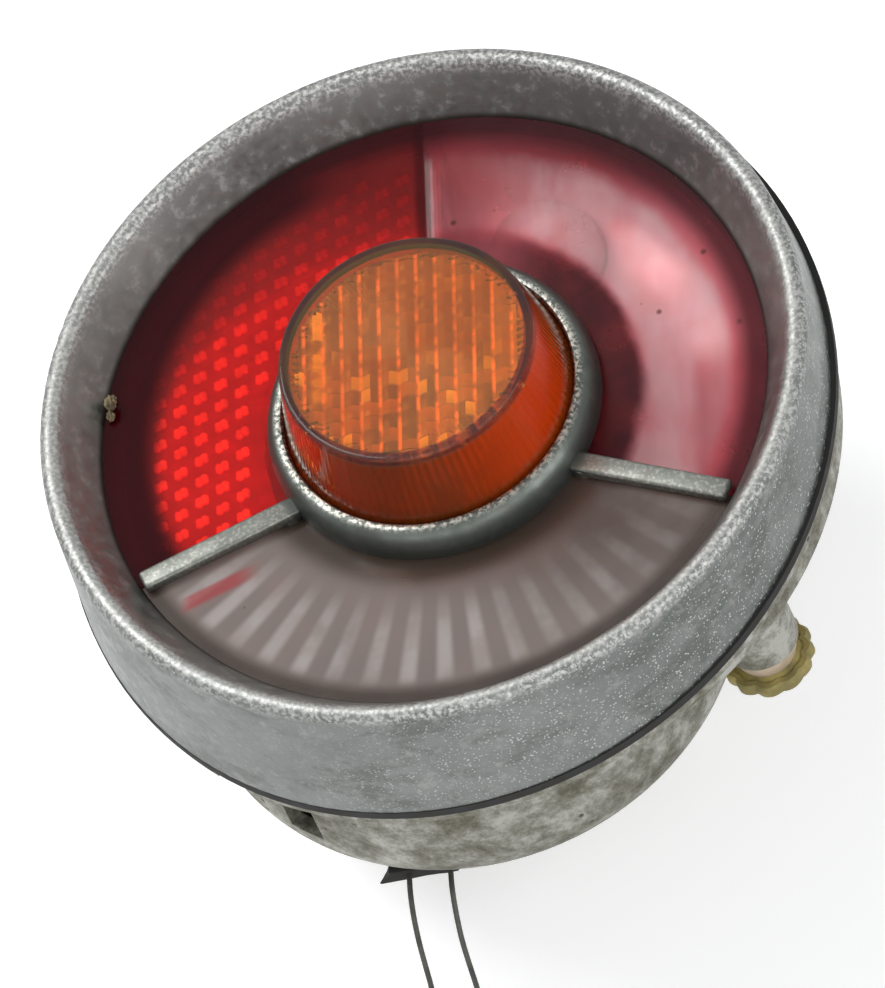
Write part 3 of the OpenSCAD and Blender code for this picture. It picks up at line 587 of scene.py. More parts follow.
def redFinish(s):
    where = newFinish("redLens")
    x, y, z = axesOf(where)
    r = distanceOf(where)
    cloud = noiseAt(where, s["cloudScale"], 4)
    wisps = noiseAt(where, s["wispScale"], 5, 0.6, (1.0, 0.35, 1.0))
    # The right side: pink over the trough, with a pale wispy band of painted reflection over the trough's
    # middle and painted shade next to the hub
    ragged = timesOf(wisps, 0.004)
    band = timesOf(spanOf(plusOf(r, ragged), *s["bandIn"]), spanOf(minusOf(r, ragged), *s["bandOut"]),
                   spanOf(x, *s["bandFrom"], 0.25, 1.0), spanOf(wisps, 0.36, 0.60, 0.45, 1.0))
    # Painted shade: the right side darker towards the top
    paintedTroughPink = mixOf(spanOf(y, *s["shadeTop"]), s["paintedTroughPink"], s["shade"])
    paintedTroughPink = mixOf(band, paintedTroughPink, s["pale"])
    # Painted shade next to the hub, where the trough's inner wall is in shadow
    near = spanOf(plusOf(r, timesOf(cloud, 0.003)), *s["hubFrom"])
    paintedTroughPink = mixOf(timesOf(near, spanOf(x, *s["hubSide"], 0.35, 0.95)), paintedTroughPink, s["hub"])
    # Painted shade at the far right, below the middle
    corner = timesOf(spanOf(x, *s["cornerX"]), spanOf(y, *s["cornerY"]), 0.6)
    paintedTroughPink = mixOf(corner, paintedTroughPink, s["shade"])
    # Painted shade: the left side darker towards the top
    deep = mixOf(spanOf(y, *s["deepShadeTop"], 0.0, 0.5), s["deep"], s["edge"])
    # Deep red over the reflex at the left; at the right, pink painted for the silvered trough beneath
    base = mixOf(spanOf(x, *s["split"]), deep, paintedTroughPink)
    # The divider behind the lens, painted on: a line of painted shade, and a pale painted highlight beside
    # it
    seam = spanOf(y, *s["seamFrom"])
    base = mixOf(timesOf(bandOf(x, s["darkLine"]), seam, 0.8), base, s["hub"])
    paleLine = timesOf(bandOf(x, s["paleLine"]), seam, spanOf(y, *s["stripEnd"]), 0.8)
    base = mixOf(paleLine, base, s["strip"])
    base = mixOf(spanOf(cloud, 0.35, 0.7, 0.0, 0.22), base, s["deep"])
    # Painted shade at the edge under the rim: narrow at the right, wide over the dark margin at the left
    # where the rim's shadow falls
    rim = mathOf("MAXIMUM", spanOf(r, *s["edgeFrom"], 0.0, 0.85),
                 timesOf(spanOf(r, *s["marginFrom"]), spanOf(x, *s["marginSide"]), 0.95))
    base = mixOf(rim, base, s["edge"])
    base = mixOf(timesOf(dustOn(where, s["dustScale"], s["dustSize"]), 0.6), base, s["dust"])
    onTop = spanOf(z, *s["topLevel"])
    for place in s["specks"]:
        speck = timesOf(spanOf(distanceOf(where, place), *s["speckSize"], 0.9, 0.0), onTop)
        base = mixOf(speck, base, s["dust"])
    clear = roughOf(cloud, s["rough"])
    hazy = roughOf(cloud, s["hazyRough"])
    side = spanOf(x, *s["hazySide"])
    rough = plusOf(timesOf(side, hazy), timesOf(minusOf(1.0, side), clear))
    return coat(base, rough, {"Transmission Weight": s["through"], "IOR": s["bend"],
                              "Specular IOR Level": s["gloss"]}, noiseAt(where, 500, 3), s["bump"])


dress(nodes["red_lens"], redFinish(redSet))
print("rim, trim and red lens finished")

# Reflex insert under the left part of the red lens: a plate with raised prisms, painted brighter and
# glowing where it is lit, dim under the rim's painted shadow elsewhere
reflexSet = {
    "inner": 0.0285, "outer": 0.0509, "low": 0.0545, "top": 0.0568,
    "pitch": 0.00385, "shift": 0.0013, "lobe": 0.00072, "rise": 0.6,
    "legAt": (-0.02398, -0.01483), "legHole": 0.0029, "dividerGap": 0.0012, "spokeGap": 0.0012,
    "cellsFrom": 0.0309, "cellsTo": 0.0486, "cellsSide": -0.005, "cellsLow": 0.005,
    "lightCentre": (-0.004, -0.012), "lightEdge": (0.0453, 0.0501), "lightEnd": (0.0452, 0.0475),
    "valleyRise": (0.00006, 0.00034), "lower": (0.036, -0.012), "mottleScale": 330, "rough": (0.16, 0.30),
    "glow": (1.0, 0.46, 0.24), "valley": (0.90, 0.08, 0.04), "between": (0.52, 0.018, 0.018),
    "shade": (0.05, 0.006, 0.014), "shadedPrism": (0.42, 0.08, 0.12), "plateShine": 0.34, "prismShine": 1.02,
    "lobes": [(0.00040, 0.00050, 1.0), (-0.00042, -0.00048, 1.0),
              (0.00062, -0.00016, 0.80), (-0.00058, 0.00022, 0.80)],
}


def reflexFinish(name, s, lit, dim, shine):
    where = newFinish(name)
    x, y, z = axesOf(where)
    # Painted light: a lit zone, its edge the rim's painted shadow
    inLight = timesOf(spanOf(distanceOf(where, s["lightCentre"]), *s["lightEdge"], 1.0, 0.0),
                      spanOf(distanceOf(where), *s["lightEnd"], 1.0, 0.0))
    # Painted shade in the valleys between the prisms' lobes
    if name == "reflexPrismRed":      # the prisms are deeper red in the valleys between their lobes
        low, high = s["valleyRise"]
        lit = mixOf(spanOf(z, s["top"] + low, s["top"] + high), s["valley"], lit)
    mottle = spanOf(noiseAt(where, s["mottleScale"], 3), 0.3, 0.7, 0.75, 1.0)
    base = mixOf(inLight, dim, lit)
    base = mixOf(mottle, s["shade"], base)
    # Painted light: the lit plate and prisms glow by emission, more towards the lower side
    shine = timesOf(inLight, mottle, spanOf(y, *s["lower"], 0.35, 1.1), shine)
    return coat(base, spanOf(mottle, 0.75, 1.0, *s["rough"]),
                {"Emission Color": base, "Emission Strength": shine})


def cellFree(x, y, s):
    return (s["cellsFrom"] < math.hypot(x, y) < s["cellsTo"] and x < s["cellsSide"]
            and y > x * math.tan(math.radians(spokeFall)) - spokeDrop + s["cellsLow"])


def makePrism(s):
    lobes = []
    for dx, dy, size in s["lobes"]:
        bpy.ops.mesh.primitive_ico_sphere_add(subdivisions=2, radius=s["lobe"] * size,
                                              location=(dx, dy, 0))
        bpy.context.object.scale = (1, 1, s["rise"])
        lobes.append(bpy.context.object)
    prism = joinAll("reflexPrism", lobes)
    freeze()
    return prism


def cutAway(piece, point, normal):
    intoEdit(piece)
    bpy.ops.mesh.bisect(plane_co=point, plane_no=normal, use_fill=True, clear_outer=True)
    outOfEdit()


def makeReflex(s):
    inner, outer, low, top = s["inner"], s["outer"], s["low"], s["top"]
    corners = [(inner, low), (outer, low), (outer, top), (inner, top)]
    plate = turnedPiece("reflexPlate", corners, 160)
    fall = math.radians(spokeFall)
    cutAway(plate, (-s["dividerGap"], 0, 0), (1, 0, 0))
    spoke = s["spokeGap"] / math.cos(fall) - spokeDrop
    cutAway(plate, (0, spoke, 0), (math.sin(fall), -math.cos(fall), 0))
    drillThrough(plate, [s["legAt"]], s["legHole"], 0.01, low, 32)
    plateRed = reflexFinish("reflexPlateRed", s, s["between"], s["shade"], s["plateShine"])
    settle(plate, plateRed, 30)
    prism = makePrism(s)
    column = s["pitch"] * math.cos(math.radians(30))
    copies = []
    for i in range(-15, -1):
        for j in range(-4, 15):
            x = i * column + s["shift"]
            y = (j + (0 if i % 2 == 0 else 0.5)) * s["pitch"]      # every other column is half a step up
            if cellFree(x, y, s):
                copies.append(copyOf(prism, (x, y, top)))
    bpy.data.objects.remove(prism)
    dots = joinAll("reflexPrisms", copies)
    # Prisms: a lit colour in the painted light, a dim colour in the painted shade
    prismRed = reflexFinish("reflexPrismRed", s, s["glow"], s["shadedPrism"], s["prismShine"])
    settle(dots, prismRed, 80)
    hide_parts("reflex_insert")
    print("reflex prisms:", len(copies))


makeReflex(reflexSet)

# Clear lens: radial flutes moulded in its underside, milky with age; the light through the flutes is
# painted on as pale stripes, with painted shade at the rim and round the hub
clearSet = {
    "outer": 0.0540, "faceDrop": 0.0014, "thick": 0.0030,
    "firstFlute": math.radians(213.7), "fluteStep": math.radians(7.04), "fluteDeep": 0.0009,
    "fluteFrom": 0.0310, "fluteTo": 0.0505, "spokeGap": 0.00015,
    "pale": (0.60, 0.545, 0.52), "grey": (0.32, 0.265, 0.245), "edge": (0.060, 0.038, 0.024),
    "warm": (0.36, 0.27, 0.235), "shadow": (0.130, 0.080, 0.064), "dust": (0.12, 0.10, 0.08),
    "glint": (0.55, 0.05, 0.06), "glintAngle": -67.3, "glintFrom": 0.0094,
    "glintX": (-0.0280, -0.0330), "glintEnd": (-0.0420, -0.0395),
    "edgeFrom": (0.0495, 0.0525), "shadowFrom": (0.0345, 0.0280), "hubFrom": (0.0330, 0.0285),
    "cornerX": (0.004, 0.028), "cornerY": (-0.046, -0.027),
    "cloudScale": 100, "streakScale": 55, "dustScale": 170, "dustSize": 0.05,
    "through": 0.45, "bend": 1.38, "rough": (0.14, 0.26), "bump": (0.05, 0.0001),
}


def clearFinish(s):
    where = newFinish("clearLens")
    x, y, z = axesOf(where)
    r = distanceOf(where)
    cloud = noiseAt(where, s["cloudScale"], 5)
    flute = wavesOf(minusOf(angleOf(where), s["firstFlute"]), 2 * math.pi / s["fluteStep"])
    zone = timesOf(spanOf(r, s["fluteFrom"] + 0.001, s["fluteFrom"] + 0.011),
                   spanOf(r, s["fluteTo"] - 0.002, s["fluteTo"] + 0.001, 1.0, 0.0))
    streaks = noiseAt(where, s["streakScale"], 4, 0.6)
    # Painted highlights: pale stripes along the flutes, for the light through them
    stripes = timesOf(spanOf(flute, 0.25, 0.95), zone, spanOf(streaks, 0.32, 0.56, 0.4, 1.0))
    base = mixOf(stripes, s["grey"], s["pale"])
    base = mixOf(spanOf(cloud, 0.40, 0.65, 0.0, 0.45), base, s["warm"])
    # Painted shade: a dark band at the outer edge under the rim, and another round the hub
    base = mixOf(spanOf(r, *s["edgeFrom"], 0.0, 0.85), base, s["edge"])
    base = mixOf(spanOf(r, *s["shadowFrom"], 0.0, 0.7), base, s["shadow"])
    base = mixOf(spanOf(r, *s["hubFrom"], 0.0, 0.85), base, s["edge"])
    corner = timesOf(spanOf(x, *s["cornerX"]), spanOf(y, *s["cornerY"]),
                     spanOf(streaks, 0.3, 0.6, 1.0, 0.7), 0.95)
    base = mixOf(corner, base, s["shadow"])
    # A red glint from the reflex, along the left bar
    below = minusOf(towardsOf(where, s["glintAngle"]), s["glintFrom"])
    glint = timesOf(spanOf(below, 0.0, 0.0007), spanOf(below, 0.0022, 0.0034, 1.0, 0.0),
                    spanOf(x, *s["glintX"]), spanOf(x, *s["glintEnd"]), 0.75)
    base = mixOf(glint, base, s["glint"])
    base = mixOf(timesOf(dustOn(where, s["dustScale"], s["dustSize"]), 0.6), base, s["dust"])
    return coat(base, roughOf(cloud, s["rough"]), {"IOR": s["bend"], "Transmission Weight": s["through"]},
                noiseAt(where, 600, 3), s["bump"])


def makeClearLens(s):
    hub, rim = hubRadius, s["outer"]
    steps = 24

    def faceLevel(r):
        return lensTop - s["faceDrop"] * max(0, (windowRadius - r) / (windowRadius - hub))

    ring = [hub + (rim - hub) * k / steps for k in range(steps + 1)]
    profile = [(r, faceLevel(r)) for r in ring] + [(r, faceLevel(r) - s["thick"]) for r in reversed(ring)]
    piece = turnedPiece("clearFlutedLens", profile, 612)
    for v in piece.data.vertices:
        r = math.hypot(v.co.x, v.co.y)
        if v.co.z < faceLevel(r) - s["thick"] / 2 and s["fluteFrom"] < r < s["fluteTo"]:
            turn = (math.atan2(v.co.y, v.co.x) % (2 * math.pi) - s["firstFlute"]) / s["fluteStep"]
            ease = math.sin(math.pi * (r - s["fluteFrom"]) / (s["fluteTo"] - s["fluteFrom"])) ** 0.3
            v.co.z += s["fluteDeep"] * ease * abs(math.cos(math.pi * turn))
    fall = math.radians(spokeFall)
    low = -spokeDrop - s["spokeGap"]
    cutAway(piece, (0, low, 0), (math.sin(fall), math.cos(fall), 0))
    cutAway(piece, (0, low, 0), (-math.sin(fall), math.cos(fall), 0))
    settle(piece, clearFinish(s), 35)
    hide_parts("clear_lens")


makeClearLens(clearSet)
print("clear lens made")

# Amber lens: a clean drum over a plate of moulded ribs and scales
amberSet = {
    "faceTop": 0.0795, "faceRadius": 0.0205, "footRadius": 0.0242, "foot": 0.0601, "flangeRadius": 0.0250,
    "flangeLow": 0.0576, "wall": 0.0014, "inside": 0.0775, "edgeRound": 0.0006, "edgeFlat": 0.0003,
    "pin": 0.0006, "ribs": 150,
    "skirtTop": 0.0766, "skirtFoot": 0.0604, "skirtWall": 0.0006, "skirtGap": 0.0002,
    "skirtRibs": 96, "ribDeep": 0.00018 / 0.019,
    "orange": (0.92, 0.66, 0.25), "edge": (0.20, 0.09, 0.085), "side": (0.84, 0.29, 0.028),
    "dark": (0.78, 0.22, 0.04), "skirtLeft": (0.50, 0.11, 0.07), "skirtDark": (0.18, 0.035, 0.006),
    "skirtLight": (0.80, 0.28, 0.05),
    "skirtDarkX": (-0.018, -0.006), "skirtLightX": (0.002, 0.019), "skirtRough": (0.35, 0.5),
    "faceFrom": (0.0022, 0.0012), "edgeFrom": (0.0189, 0.0193), "sideFrom": (-0.016, 0.020),
    "cloudScale": 130,
    "through": 0.93, "edgeThrough": 0.80, "bend": 1.30, "rough": (0.03, 0.09), "bump": (0.08, 0.0002),
}


def amberFinish(s):
    where = newFinish("amberLens")
    x, y, z = axesOf(where)
    r = distanceOf(where)
    cloud = noiseAt(where, s["cloudScale"], 4)
    low, high = s["faceFrom"]
    above = spanOf(z, s["faceTop"] - low, s["faceTop"] - high)
    # Painted shade on the drum's side: darker towards the left
    side = mixOf(spanOf(x, *s["sideFrom"]), s["dark"], s["side"])
    base = mixOf(above, side, s["orange"])
    # Painted shade: a dark band round the face's edge
    rim = timesOf(above, spanOf(r, *s["edgeFrom"]))
    base = mixOf(rim, base, s["edge"])
    base = mixOf(spanOf(cloud, 0.4, 0.7, 0.0, 0.2), base, s["side"])
    ribs = timesOf(wavesOf(angleOf(where), s["ribs"]), minusOf(1.0, above))
    through = spanOf(rim, 0.0, 1.0, s["through"], s["edgeThrough"])
    return coat(base, roughOf(cloud, s["rough"]), {"IOR": s["bend"], "Transmission Weight": through},
                plusOf(ribs, timesOf(noiseAt(where, 500, 2), 0.3)), s["bump"])


def makeAmberLens(s):
    soft = s["edgeRound"]
    crown = [(s["faceRadius"] - soft * (1 - math.sin(a)), s["faceTop"] - soft * (1 - math.cos(a)))
             for a in [math.radians(15 * k) for k in range(7)]]
    top, under, pin, flange, low = s["faceTop"], s["inside"], s["pin"], s["flangeRadius"], s["flangeLow"]
    profile = [(flange, low), (flange, s["foot"]), (s["footRadius"], s["foot"])] + crown[::-1]
    profile += [(r, top) for r in (s["faceRadius"] - soft - s["edgeFlat"], 0.012, 0.004, pin)]
    profile += [(r, under) for r in (pin, 0.010, s["faceRadius"] - s["wall"])]
    profile += [(s["footRadius"] - s["wall"], low)]
    piece = turnedPiece("amberDrum", profile, 160)

    def aroundPin(face):
        return all(math.hypot(*piece.data.vertices[i].co.xy) < 1.1 * pin for i in face.vertices)

    # The pin hole left at the axis: its walls go, and both rings are filled
    dropFaces(piece, aroundPin)
    intoEdit(piece)
    bpy.ops.mesh.region_to_loop()
    bpy.ops.mesh.edge_face_add()
    bpy.ops.mesh.select_all(action="SELECT")
    bpy.ops.mesh.normals_make_consistent(inside=False)
    outOfEdit()
    settle(piece, amberFinish(s), 35)
    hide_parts("amber_lens")


makeAmberLens(amberSet)


# A ribbed skirt just inside the drum's wall, with painted light and shade: reddish at the far left, dark in
# the middle, bright at the right, its ribs lit more towards the right
def makeSkirt(s):
    def inside(z):
        return (s["faceRadius"] - s["wall"] - s["skirtGap"]
                + (s["footRadius"] - s["faceRadius"]) * (s["inside"] - z) / (s["inside"] - s["flangeLow"]))

    high, low, wall = s["skirtTop"], s["skirtFoot"], s["skirtWall"]
    corners = [(inside(high) - wall, high), (inside(high), high)]
    corners += [(inside(low), low), (inside(low) - wall, low)]
    piece = turnedPiece("amberSkirt", corners, 480)
    for v in piece.data.vertices:
        k = 1 - s["ribDeep"] * (1 + math.cos(s["skirtRibs"] * math.atan2(v.co.y, v.co.x)))
        v.co.x, v.co.y = v.co.x * k, v.co.y * k
    where = newFinish("amberSkirtPlastic")
    x, y, z = axesOf(where)
    ribs = wavesOf(angleOf(where), s["skirtRibs"])
    base = mixOf(spanOf(x, *s["skirtDarkX"]), s["skirtLeft"], s["skirtDark"])
    base = mixOf(spanOf(x, *s["skirtLightX"]), base, s["skirtLight"])
    ribbed = timesOf(ribs, spanOf(noiseAt(where, 90, 3), 0.45, 0.65), spanOf(x, -0.010, 0.014, 0.12, 0.5))
    base = mixOf(ribbed, base, s["skirtLight"])
    skirtPlastic = coat(base, spanOf(ribs, 0.0, 1.0, *s["skirtRough"]), {})
    settle(piece, skirtPlastic, 50)


makeSkirt(amberSet)

# The moulded pattern behind the amber face: upright columns, each cut into scales
scaleSet = {
    "radius": 0.0188, "level": 0.0771, "thick": 0.0008, "pitchX": 0.00304, "pitchY": 0.00262,
    "rise": 0.00035, "cells": 176, "bow": 0.5, "trim": 0.0006, "serration": 5000,
    "base": (0.33, 0.105, 0.12), "streak": (1.0, 0.37, 0.17), "yellow": (1.0, 0.72, 0.04),
    "dark": (0.20, 0.058, 0.075), "low": (0.62, 0.235, 0.085), "veilReflection": (0.74, 0.38, 0.38),
    "lowFrom": (0.003, -0.009), "leftFrom": (-0.0105, -0.0140), "veilFrom": (0.0125, 0.0180),
    "flareX": (-0.0128, -0.0136, -0.0160, -0.0150), "flareY": (0.011, 0.008, -0.009, -0.005),
    "wideScale": 75, "brokenScale": 420, "rough": (0.15, 0.35),
    "shine": 0.04, "seamShine": 0.24, "goldShine": 0.20,
}


def scaleFinish(s):
    where = newFinish("amberScales")
    x, y, z = axesOf(where)
    # Columns and bowed rows, counted from 100 so that no tile number is negative
    columns = plusOf(mathOf("DIVIDE", x, s["pitchX"]), 100.5)
    middle = mathOf("ABSOLUTE", minusOf(mathOf("FRACT", columns), 0.5))
    rows = plusOf(plusOf(mathOf("DIVIDE", y, s["pitchY"]), 100.0), timesOf(middle, middle, s["bow"]))
    row = mathOf("FRACT", rows)
    whole = chanceOf(columns, rows, 3.0)
    half = chanceOf(timesOf(columns, 2.0), rows, 7.0)
    wide = noiseAt(where, s["wideScale"], 3, 0.5, (1.0, 0.35, 0.0))
    lowPart = spanOf(y, *s["lowFrom"])
    base = mixOf(spanOf(wide, 0.40, 0.62), s["base"], s["dark"])
    lit = timesOf(spanOf(whole, 0.3, 0.6), spanOf(lowPart, 0.0, 1.0, 0.25, 0.85))
    base = mixOf(lit, base, s["low"])
    base = mixOf(timesOf(spanOf(half, 0.60, 0.64, 0.0, 0.45), lowPart), base, s["dark"])
    golden = mathOf("MAXIMUM", spanOf(lowPart, 0.0, 1.0, 0.12, 0.85), spanOf(x, *s["leftFrom"]))
    gold = timesOf(spanOf(half, 0.80, 0.82, 1.0, 0.0), spanOf(half, 0.64, 0.66), golden)
    base = mixOf(gold, base, s["yellow"])
    # Each scale is painted with light and shade: lighter at its top, shaded towards the dark arc it ends in
    base = mixOf(spanOf(row, 0.15, 0.9, 0.35, 0.0), base, s["dark"])
    line = timesOf(spanOf(row, 0.03, 0.16, 1.0, 0.0), spanOf(lowPart, 0.0, 1.0, 0.15, 0.75))
    base = mixOf(line, base, s["dark"])
    # Painted highlights: broken bright seams between the columns, and a yellow flare at the far left
    broken = spanOf(noiseAt(where, s["brokenScale"], 2, 0.5, (0.6, 1.0, 0.0)), 0.40, 0.58, 0.25, 1.0)
    seam = timesOf(spanOf(middle, 0.34, 0.46), broken, spanOf(wide, 0.32, 0.55, 0.55, 1.0))
    flare = timesOf(bandOf(x, s["flareX"]), bandOf(y, s["flareY"]), broken, 0.8)
    base = mixOf(flare, base, s["yellow"])
    base = mixOf(seam, base, s["streak"])
    # Painted reflection: a pale veil over the right of the face
    base = mixOf(spanOf(x, *s["veilFrom"], 0.0, 0.55), base, s["veilReflection"])
    # Painted light: the plate, its seams and its golden tiles glow by emission
    shine = plusOf(s["shine"], plusOf(timesOf(seam, s["seamShine"]), timesOf(gold, s["goldShine"])))
    return coat(base, roughOf(half, s["rough"]), {"Emission Color": base, "Emission Strength": shine})


def makeScales(s):
    bpy.ops.mesh.primitive_grid_add(x_subdivisions=s["cells"], y_subdivisions=s["cells"],
                                    size=2 * s["radius"], location=(0, 0, s["level"]))
    piece = bpy.context.object
    piece.name = "amberScalePlate"
    freeze()
    for v in piece.data.vertices:
        across = (v.co.x / s["pitchX"] + 100.5) % 1 - 0.5
        along = (v.co.y / s["pitchY"] + s["bow"] * across * across + 100) % 1
        v.co.z += s["rise"] * (math.cos(math.pi * across) - 0.7 + 0.8 * along * (1 - along))

    def outside(face):      # the border is cut along whole cells, so it is serrated
        y = face.center.y
        across = (round(face.center.x / s["pitchX"] * 2) / 2) * s["pitchX"]
        return math.hypot(across, y) > s["radius"] - s["trim"] * (1 + math.cos(y * s["serration"]))

    dropFaces(piece, outside)
    wall = piece.modifiers.new("thickness", "SOLIDIFY")
    wall.thickness = s["thick"]
    wall.offset = -1
    applyModifiers(piece)
    settle(piece, scaleFinish(s), 60)


makeScales(scaleSet)
print("amber lens made")

# Cast housing: pale grey with olive patches and small holes
castSet = {
    "base": (0.205, 0.202, 0.165),
    "olive": (0.098, 0.093, 0.062),
    "pale": (0.40, 0.40, 0.36),
    "dark": (0.05, 0.047, 0.036),
    "cloudScale": 150, "fineScale": 900, "holeScale": 330,
    "metal": 0.5, "rough": (0.42, 0.72), "bump": (0.5, 0.0003),
}


def castFinish(s):
    where = newFinish("castAlloy")
    cloud = noiseAt(where, s["cloudScale"], 8, 0.74)
    fine = noiseAt(where, s["fineScale"], 5, 0.7)
    holes = timesOf(spanOf(cellsAt(where, s["holeScale"]), 0.10, 0.20, 1.0, 0.0),
                    spanOf(noiseAt(where, 120, 3), 0.52, 0.62))
    base = rampOf(cloud, [(0.39, s["olive"]), (0.50, s["base"]), (0.62, s["pale"])])
    base = mixOf(spanOf(fine, 0.55, 0.75, 0.0, 0.4), base, s["pale"])
    base = mixOf(holes, base, s["dark"])
    return coat(base, roughOf(fine, s["rough"]), {"Metallic": s["metal"]}, minusOf(fine, holes), s["bump"])


dress(nodes["housing"], castFinish(castSet))


# Plain finishes: one function, with its values in a table
def plainFinish(name, s):
    where = newFinish(name)
    cloud = noiseAt(where, s.get("scale", 300), 4)
    base = mixOf(spanOf(cloud, 0.35, 0.65), s["a"], s["b"])
    return coat(base, roughOf(cloud, s["rough"]), {"Metallic": s.get("metal", 0.0)},
                noiseAt(where, 1500, 3), (s.get("bump", 0.15), 0.0002))


plainSet = {
    "blackRubber": {"a": (0.006, 0.006, 0.006), "b": (0.016, 0.015, 0.013), "rough": (0.75, 0.95),
                    "bump": 0.3},
    "agedRubber": {"a": (0.37, 0.30, 0.095), "b": (0.20, 0.165, 0.055), "rough": (0.5, 0.75), "scale": 220,
                   "bump": 0.4},
    "beigeCollar": {"a": (0.50, 0.40, 0.30), "b": (0.40, 0.32, 0.22), "rough": (0.5, 0.7), "scale": 240},
    "silvered": {"a": (0.74, 0.72, 0.73), "b": (0.58, 0.56, 0.58), "rough": (0.30, 0.46), "metal": 0.35,
                 "scale": 55},
    "whitePlastic": {"a": (0.62, 0.60, 0.58), "b": (0.50, 0.48, 0.46), "rough": (0.4, 0.6)},
    "platedSteel": {"a": (0.36, 0.36, 0.34), "b": (0.24, 0.23, 0.20), "rough": (0.3, 0.5), "metal": 1.0},
    "dullBrass": {"a": (0.46, 0.335, 0.145), "b": (0.31, 0.215, 0.085), "rough": (0.28, 0.5), "metal": 1.0},
    "fibreBoard": {"a": (0.30, 0.15, 0.07), "b": (0.20, 0.10, 0.05), "rough": (0.6, 0.8)},
    "springWire": {"a": (0.48, 0.48, 0.48), "b": (0.36, 0.36, 0.36), "rough": (0.25, 0.4), "metal": 1.0},
    "tungsten": {"a": (0.30, 0.30, 0.30), "b": (0.18, 0.18, 0.18), "rough": (0.4, 0.6), "metal": 1.0},
    "leadPlastic": {"a": (0.075, 0.07, 0.055), "b": (0.03, 0.03, 0.028), "rough": (0.45, 0.65)},
    "dirt": {"a": (0.30, 0.24, 0.12), "b": (0.10, 0.08, 0.05), "rough": (0.8, 0.95), "scale": 900,
             "bump": 0.8},
}
plain = {name: plainFinish(name, s) for name, s in plainSet.items()}


# Frosted grey bulb glass
glassSet = {
    "pale": (0.92, 0.90, 0.91), "grey": (0.82, 0.80, 0.82), "cloudScale": 200,
    "rough": (0.30, 0.42), "bend": 1.5, "through": 0.35,
}


def glassFinish(s):
    where = newFinish("bulbGlass")
    cloud = noiseAt(where, s["cloudScale"], 2)
    base = mixOf(spanOf(cloud, 0.4, 0.6), s["pale"], s["grey"])
    return coat(base, roughOf(cloud, s["rough"]), {"IOR": s["bend"], "Transmission Weight": s["through"]})


bulbGlass = glassFinish(glassSet)

# Contact springs: a coil filling the space of each bulb's spring
springSet = {"wire": 0.00038, "turns": 5, "perTurn": 24, "travel": 0.002}


def makeSpring(bulb, s):
    low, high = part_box(bulb + "_spring")
    middle = (low + high) / 2
    reach = (high.x - low.x) / 2 - s["wire"]
    rise = high.z - low.z - 2 * s["wire"]
    count = s["turns"] * s["perTurn"]
    path = []
    for k in range(count + 1):
        turn = 2 * math.pi * k / s["perTurn"]
        level = low.z + s["wire"] + rise * k / count
        path.append((middle.x + reach * math.cos(turn), middle.y + reach * math.sin(turn), level))
    coil = makeCurve(bulb + "CoilSpring", path, s["wire"])
    pick(coil)
    bpy.ops.object.convert(target="MESH")
    settle(coil, plain["springWire"], 60)
    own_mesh(coil)
    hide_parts(bulb + "_spring")


# Reflector: a smooth ring-shaped trough, a funnel round the amber bulb, and holes for the outer bulbs
mirrorSet = {
    "rim": 0.0567, "seat": 0.0568, "sheet": 0.0012, "middle": 0.0393, "half": 0.0139, "deep": 0.0103,
    "tube": 0.0254, "tubeTop": 0.0564, "eye": 0.0142, "eyeLevel": 0.0436,
    "holes": [(0.01564, 0.03353), (0, -0.0370)], "holeRadius": 0.0094,
}


def makeMirror(s):
    def trough(turn, grow):
        a = math.radians(turn)
        return (s["middle"] + (s["half"] + 0.8 * grow) * math.cos(a),
                s["seat"] - (s["deep"] + grow) * math.sin(a))

    turns = [6 * k for k in range(1, 30)]
    seat, sheet, eye, level = s["seat"], s["sheet"], s["eye"], s["eyeLevel"]
    edge = s["middle"] + s["half"]
    profile = [(s["rim"], seat), (edge, seat)] + [trough(t, 0) for t in turns]
    profile += [(s["tube"], s["tubeTop"]), (s["tube"] - sheet, s["tubeTop"])]
    profile += [(eye, level + 0.0016), (eye, level), (eye + 0.0014, level), (0.0244, 0.0535)]
    profile += [trough(t, sheet) for t in reversed(turns[1:27])]
    profile += [(edge + 0.001, seat - sheet), (s["rim"], seat - sheet)]
    piece = turnedPiece("troughMirror", profile, 180)
    drillThrough(piece, s["holes"], s["holeRadius"], 0.06, 0.05, 64)
    settle(piece, plain["silvered"], 35)
    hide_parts("reflector_pan")


makeMirror(mirrorSet)
print("reflector made")

# Finishes of the CAD's own pieces
wear = {
    "lens_gasket": "blackRubber", "amber_gasket": "blackRubber", "bezel_gasket": "blackRubber",
    "light_baffles": "whitePlastic", "socket_plate": "platedSteel",
    "plate_screws": "platedSteel", "bezel_screws": "platedSteel", "trim_screws": "dullBrass",
    "mounting_studs": "platedSteel", "inner_leads": "leadPlastic",
}
for node, finish in wear.items():
    dress(nodes[node], plain[finish])
for bulb in ("amber", "stop", "reverse"):
    dress(nodes[bulb + "_socket"], plain["dullBrass"])
    dress(nodes[bulb + "_insulator"], plain["fibreBoard"])
    dress(nodes[bulb + "_plunger"], plain["dullBrass"])
    makeSpring(bulb, springSet)
    dress(nodes[bulb + "_cap"], plain["dullBrass"])
    dress(nodes[bulb + "_glass"], bulbGlass)
    dress(nodes[bulb + "_filament"], plain["tungsten"])
for cord, ends in leads.values():
    dress(cord, plain["leadPlastic"])
    dress(ends, plain["dullBrass"])
print("plain finishes made")

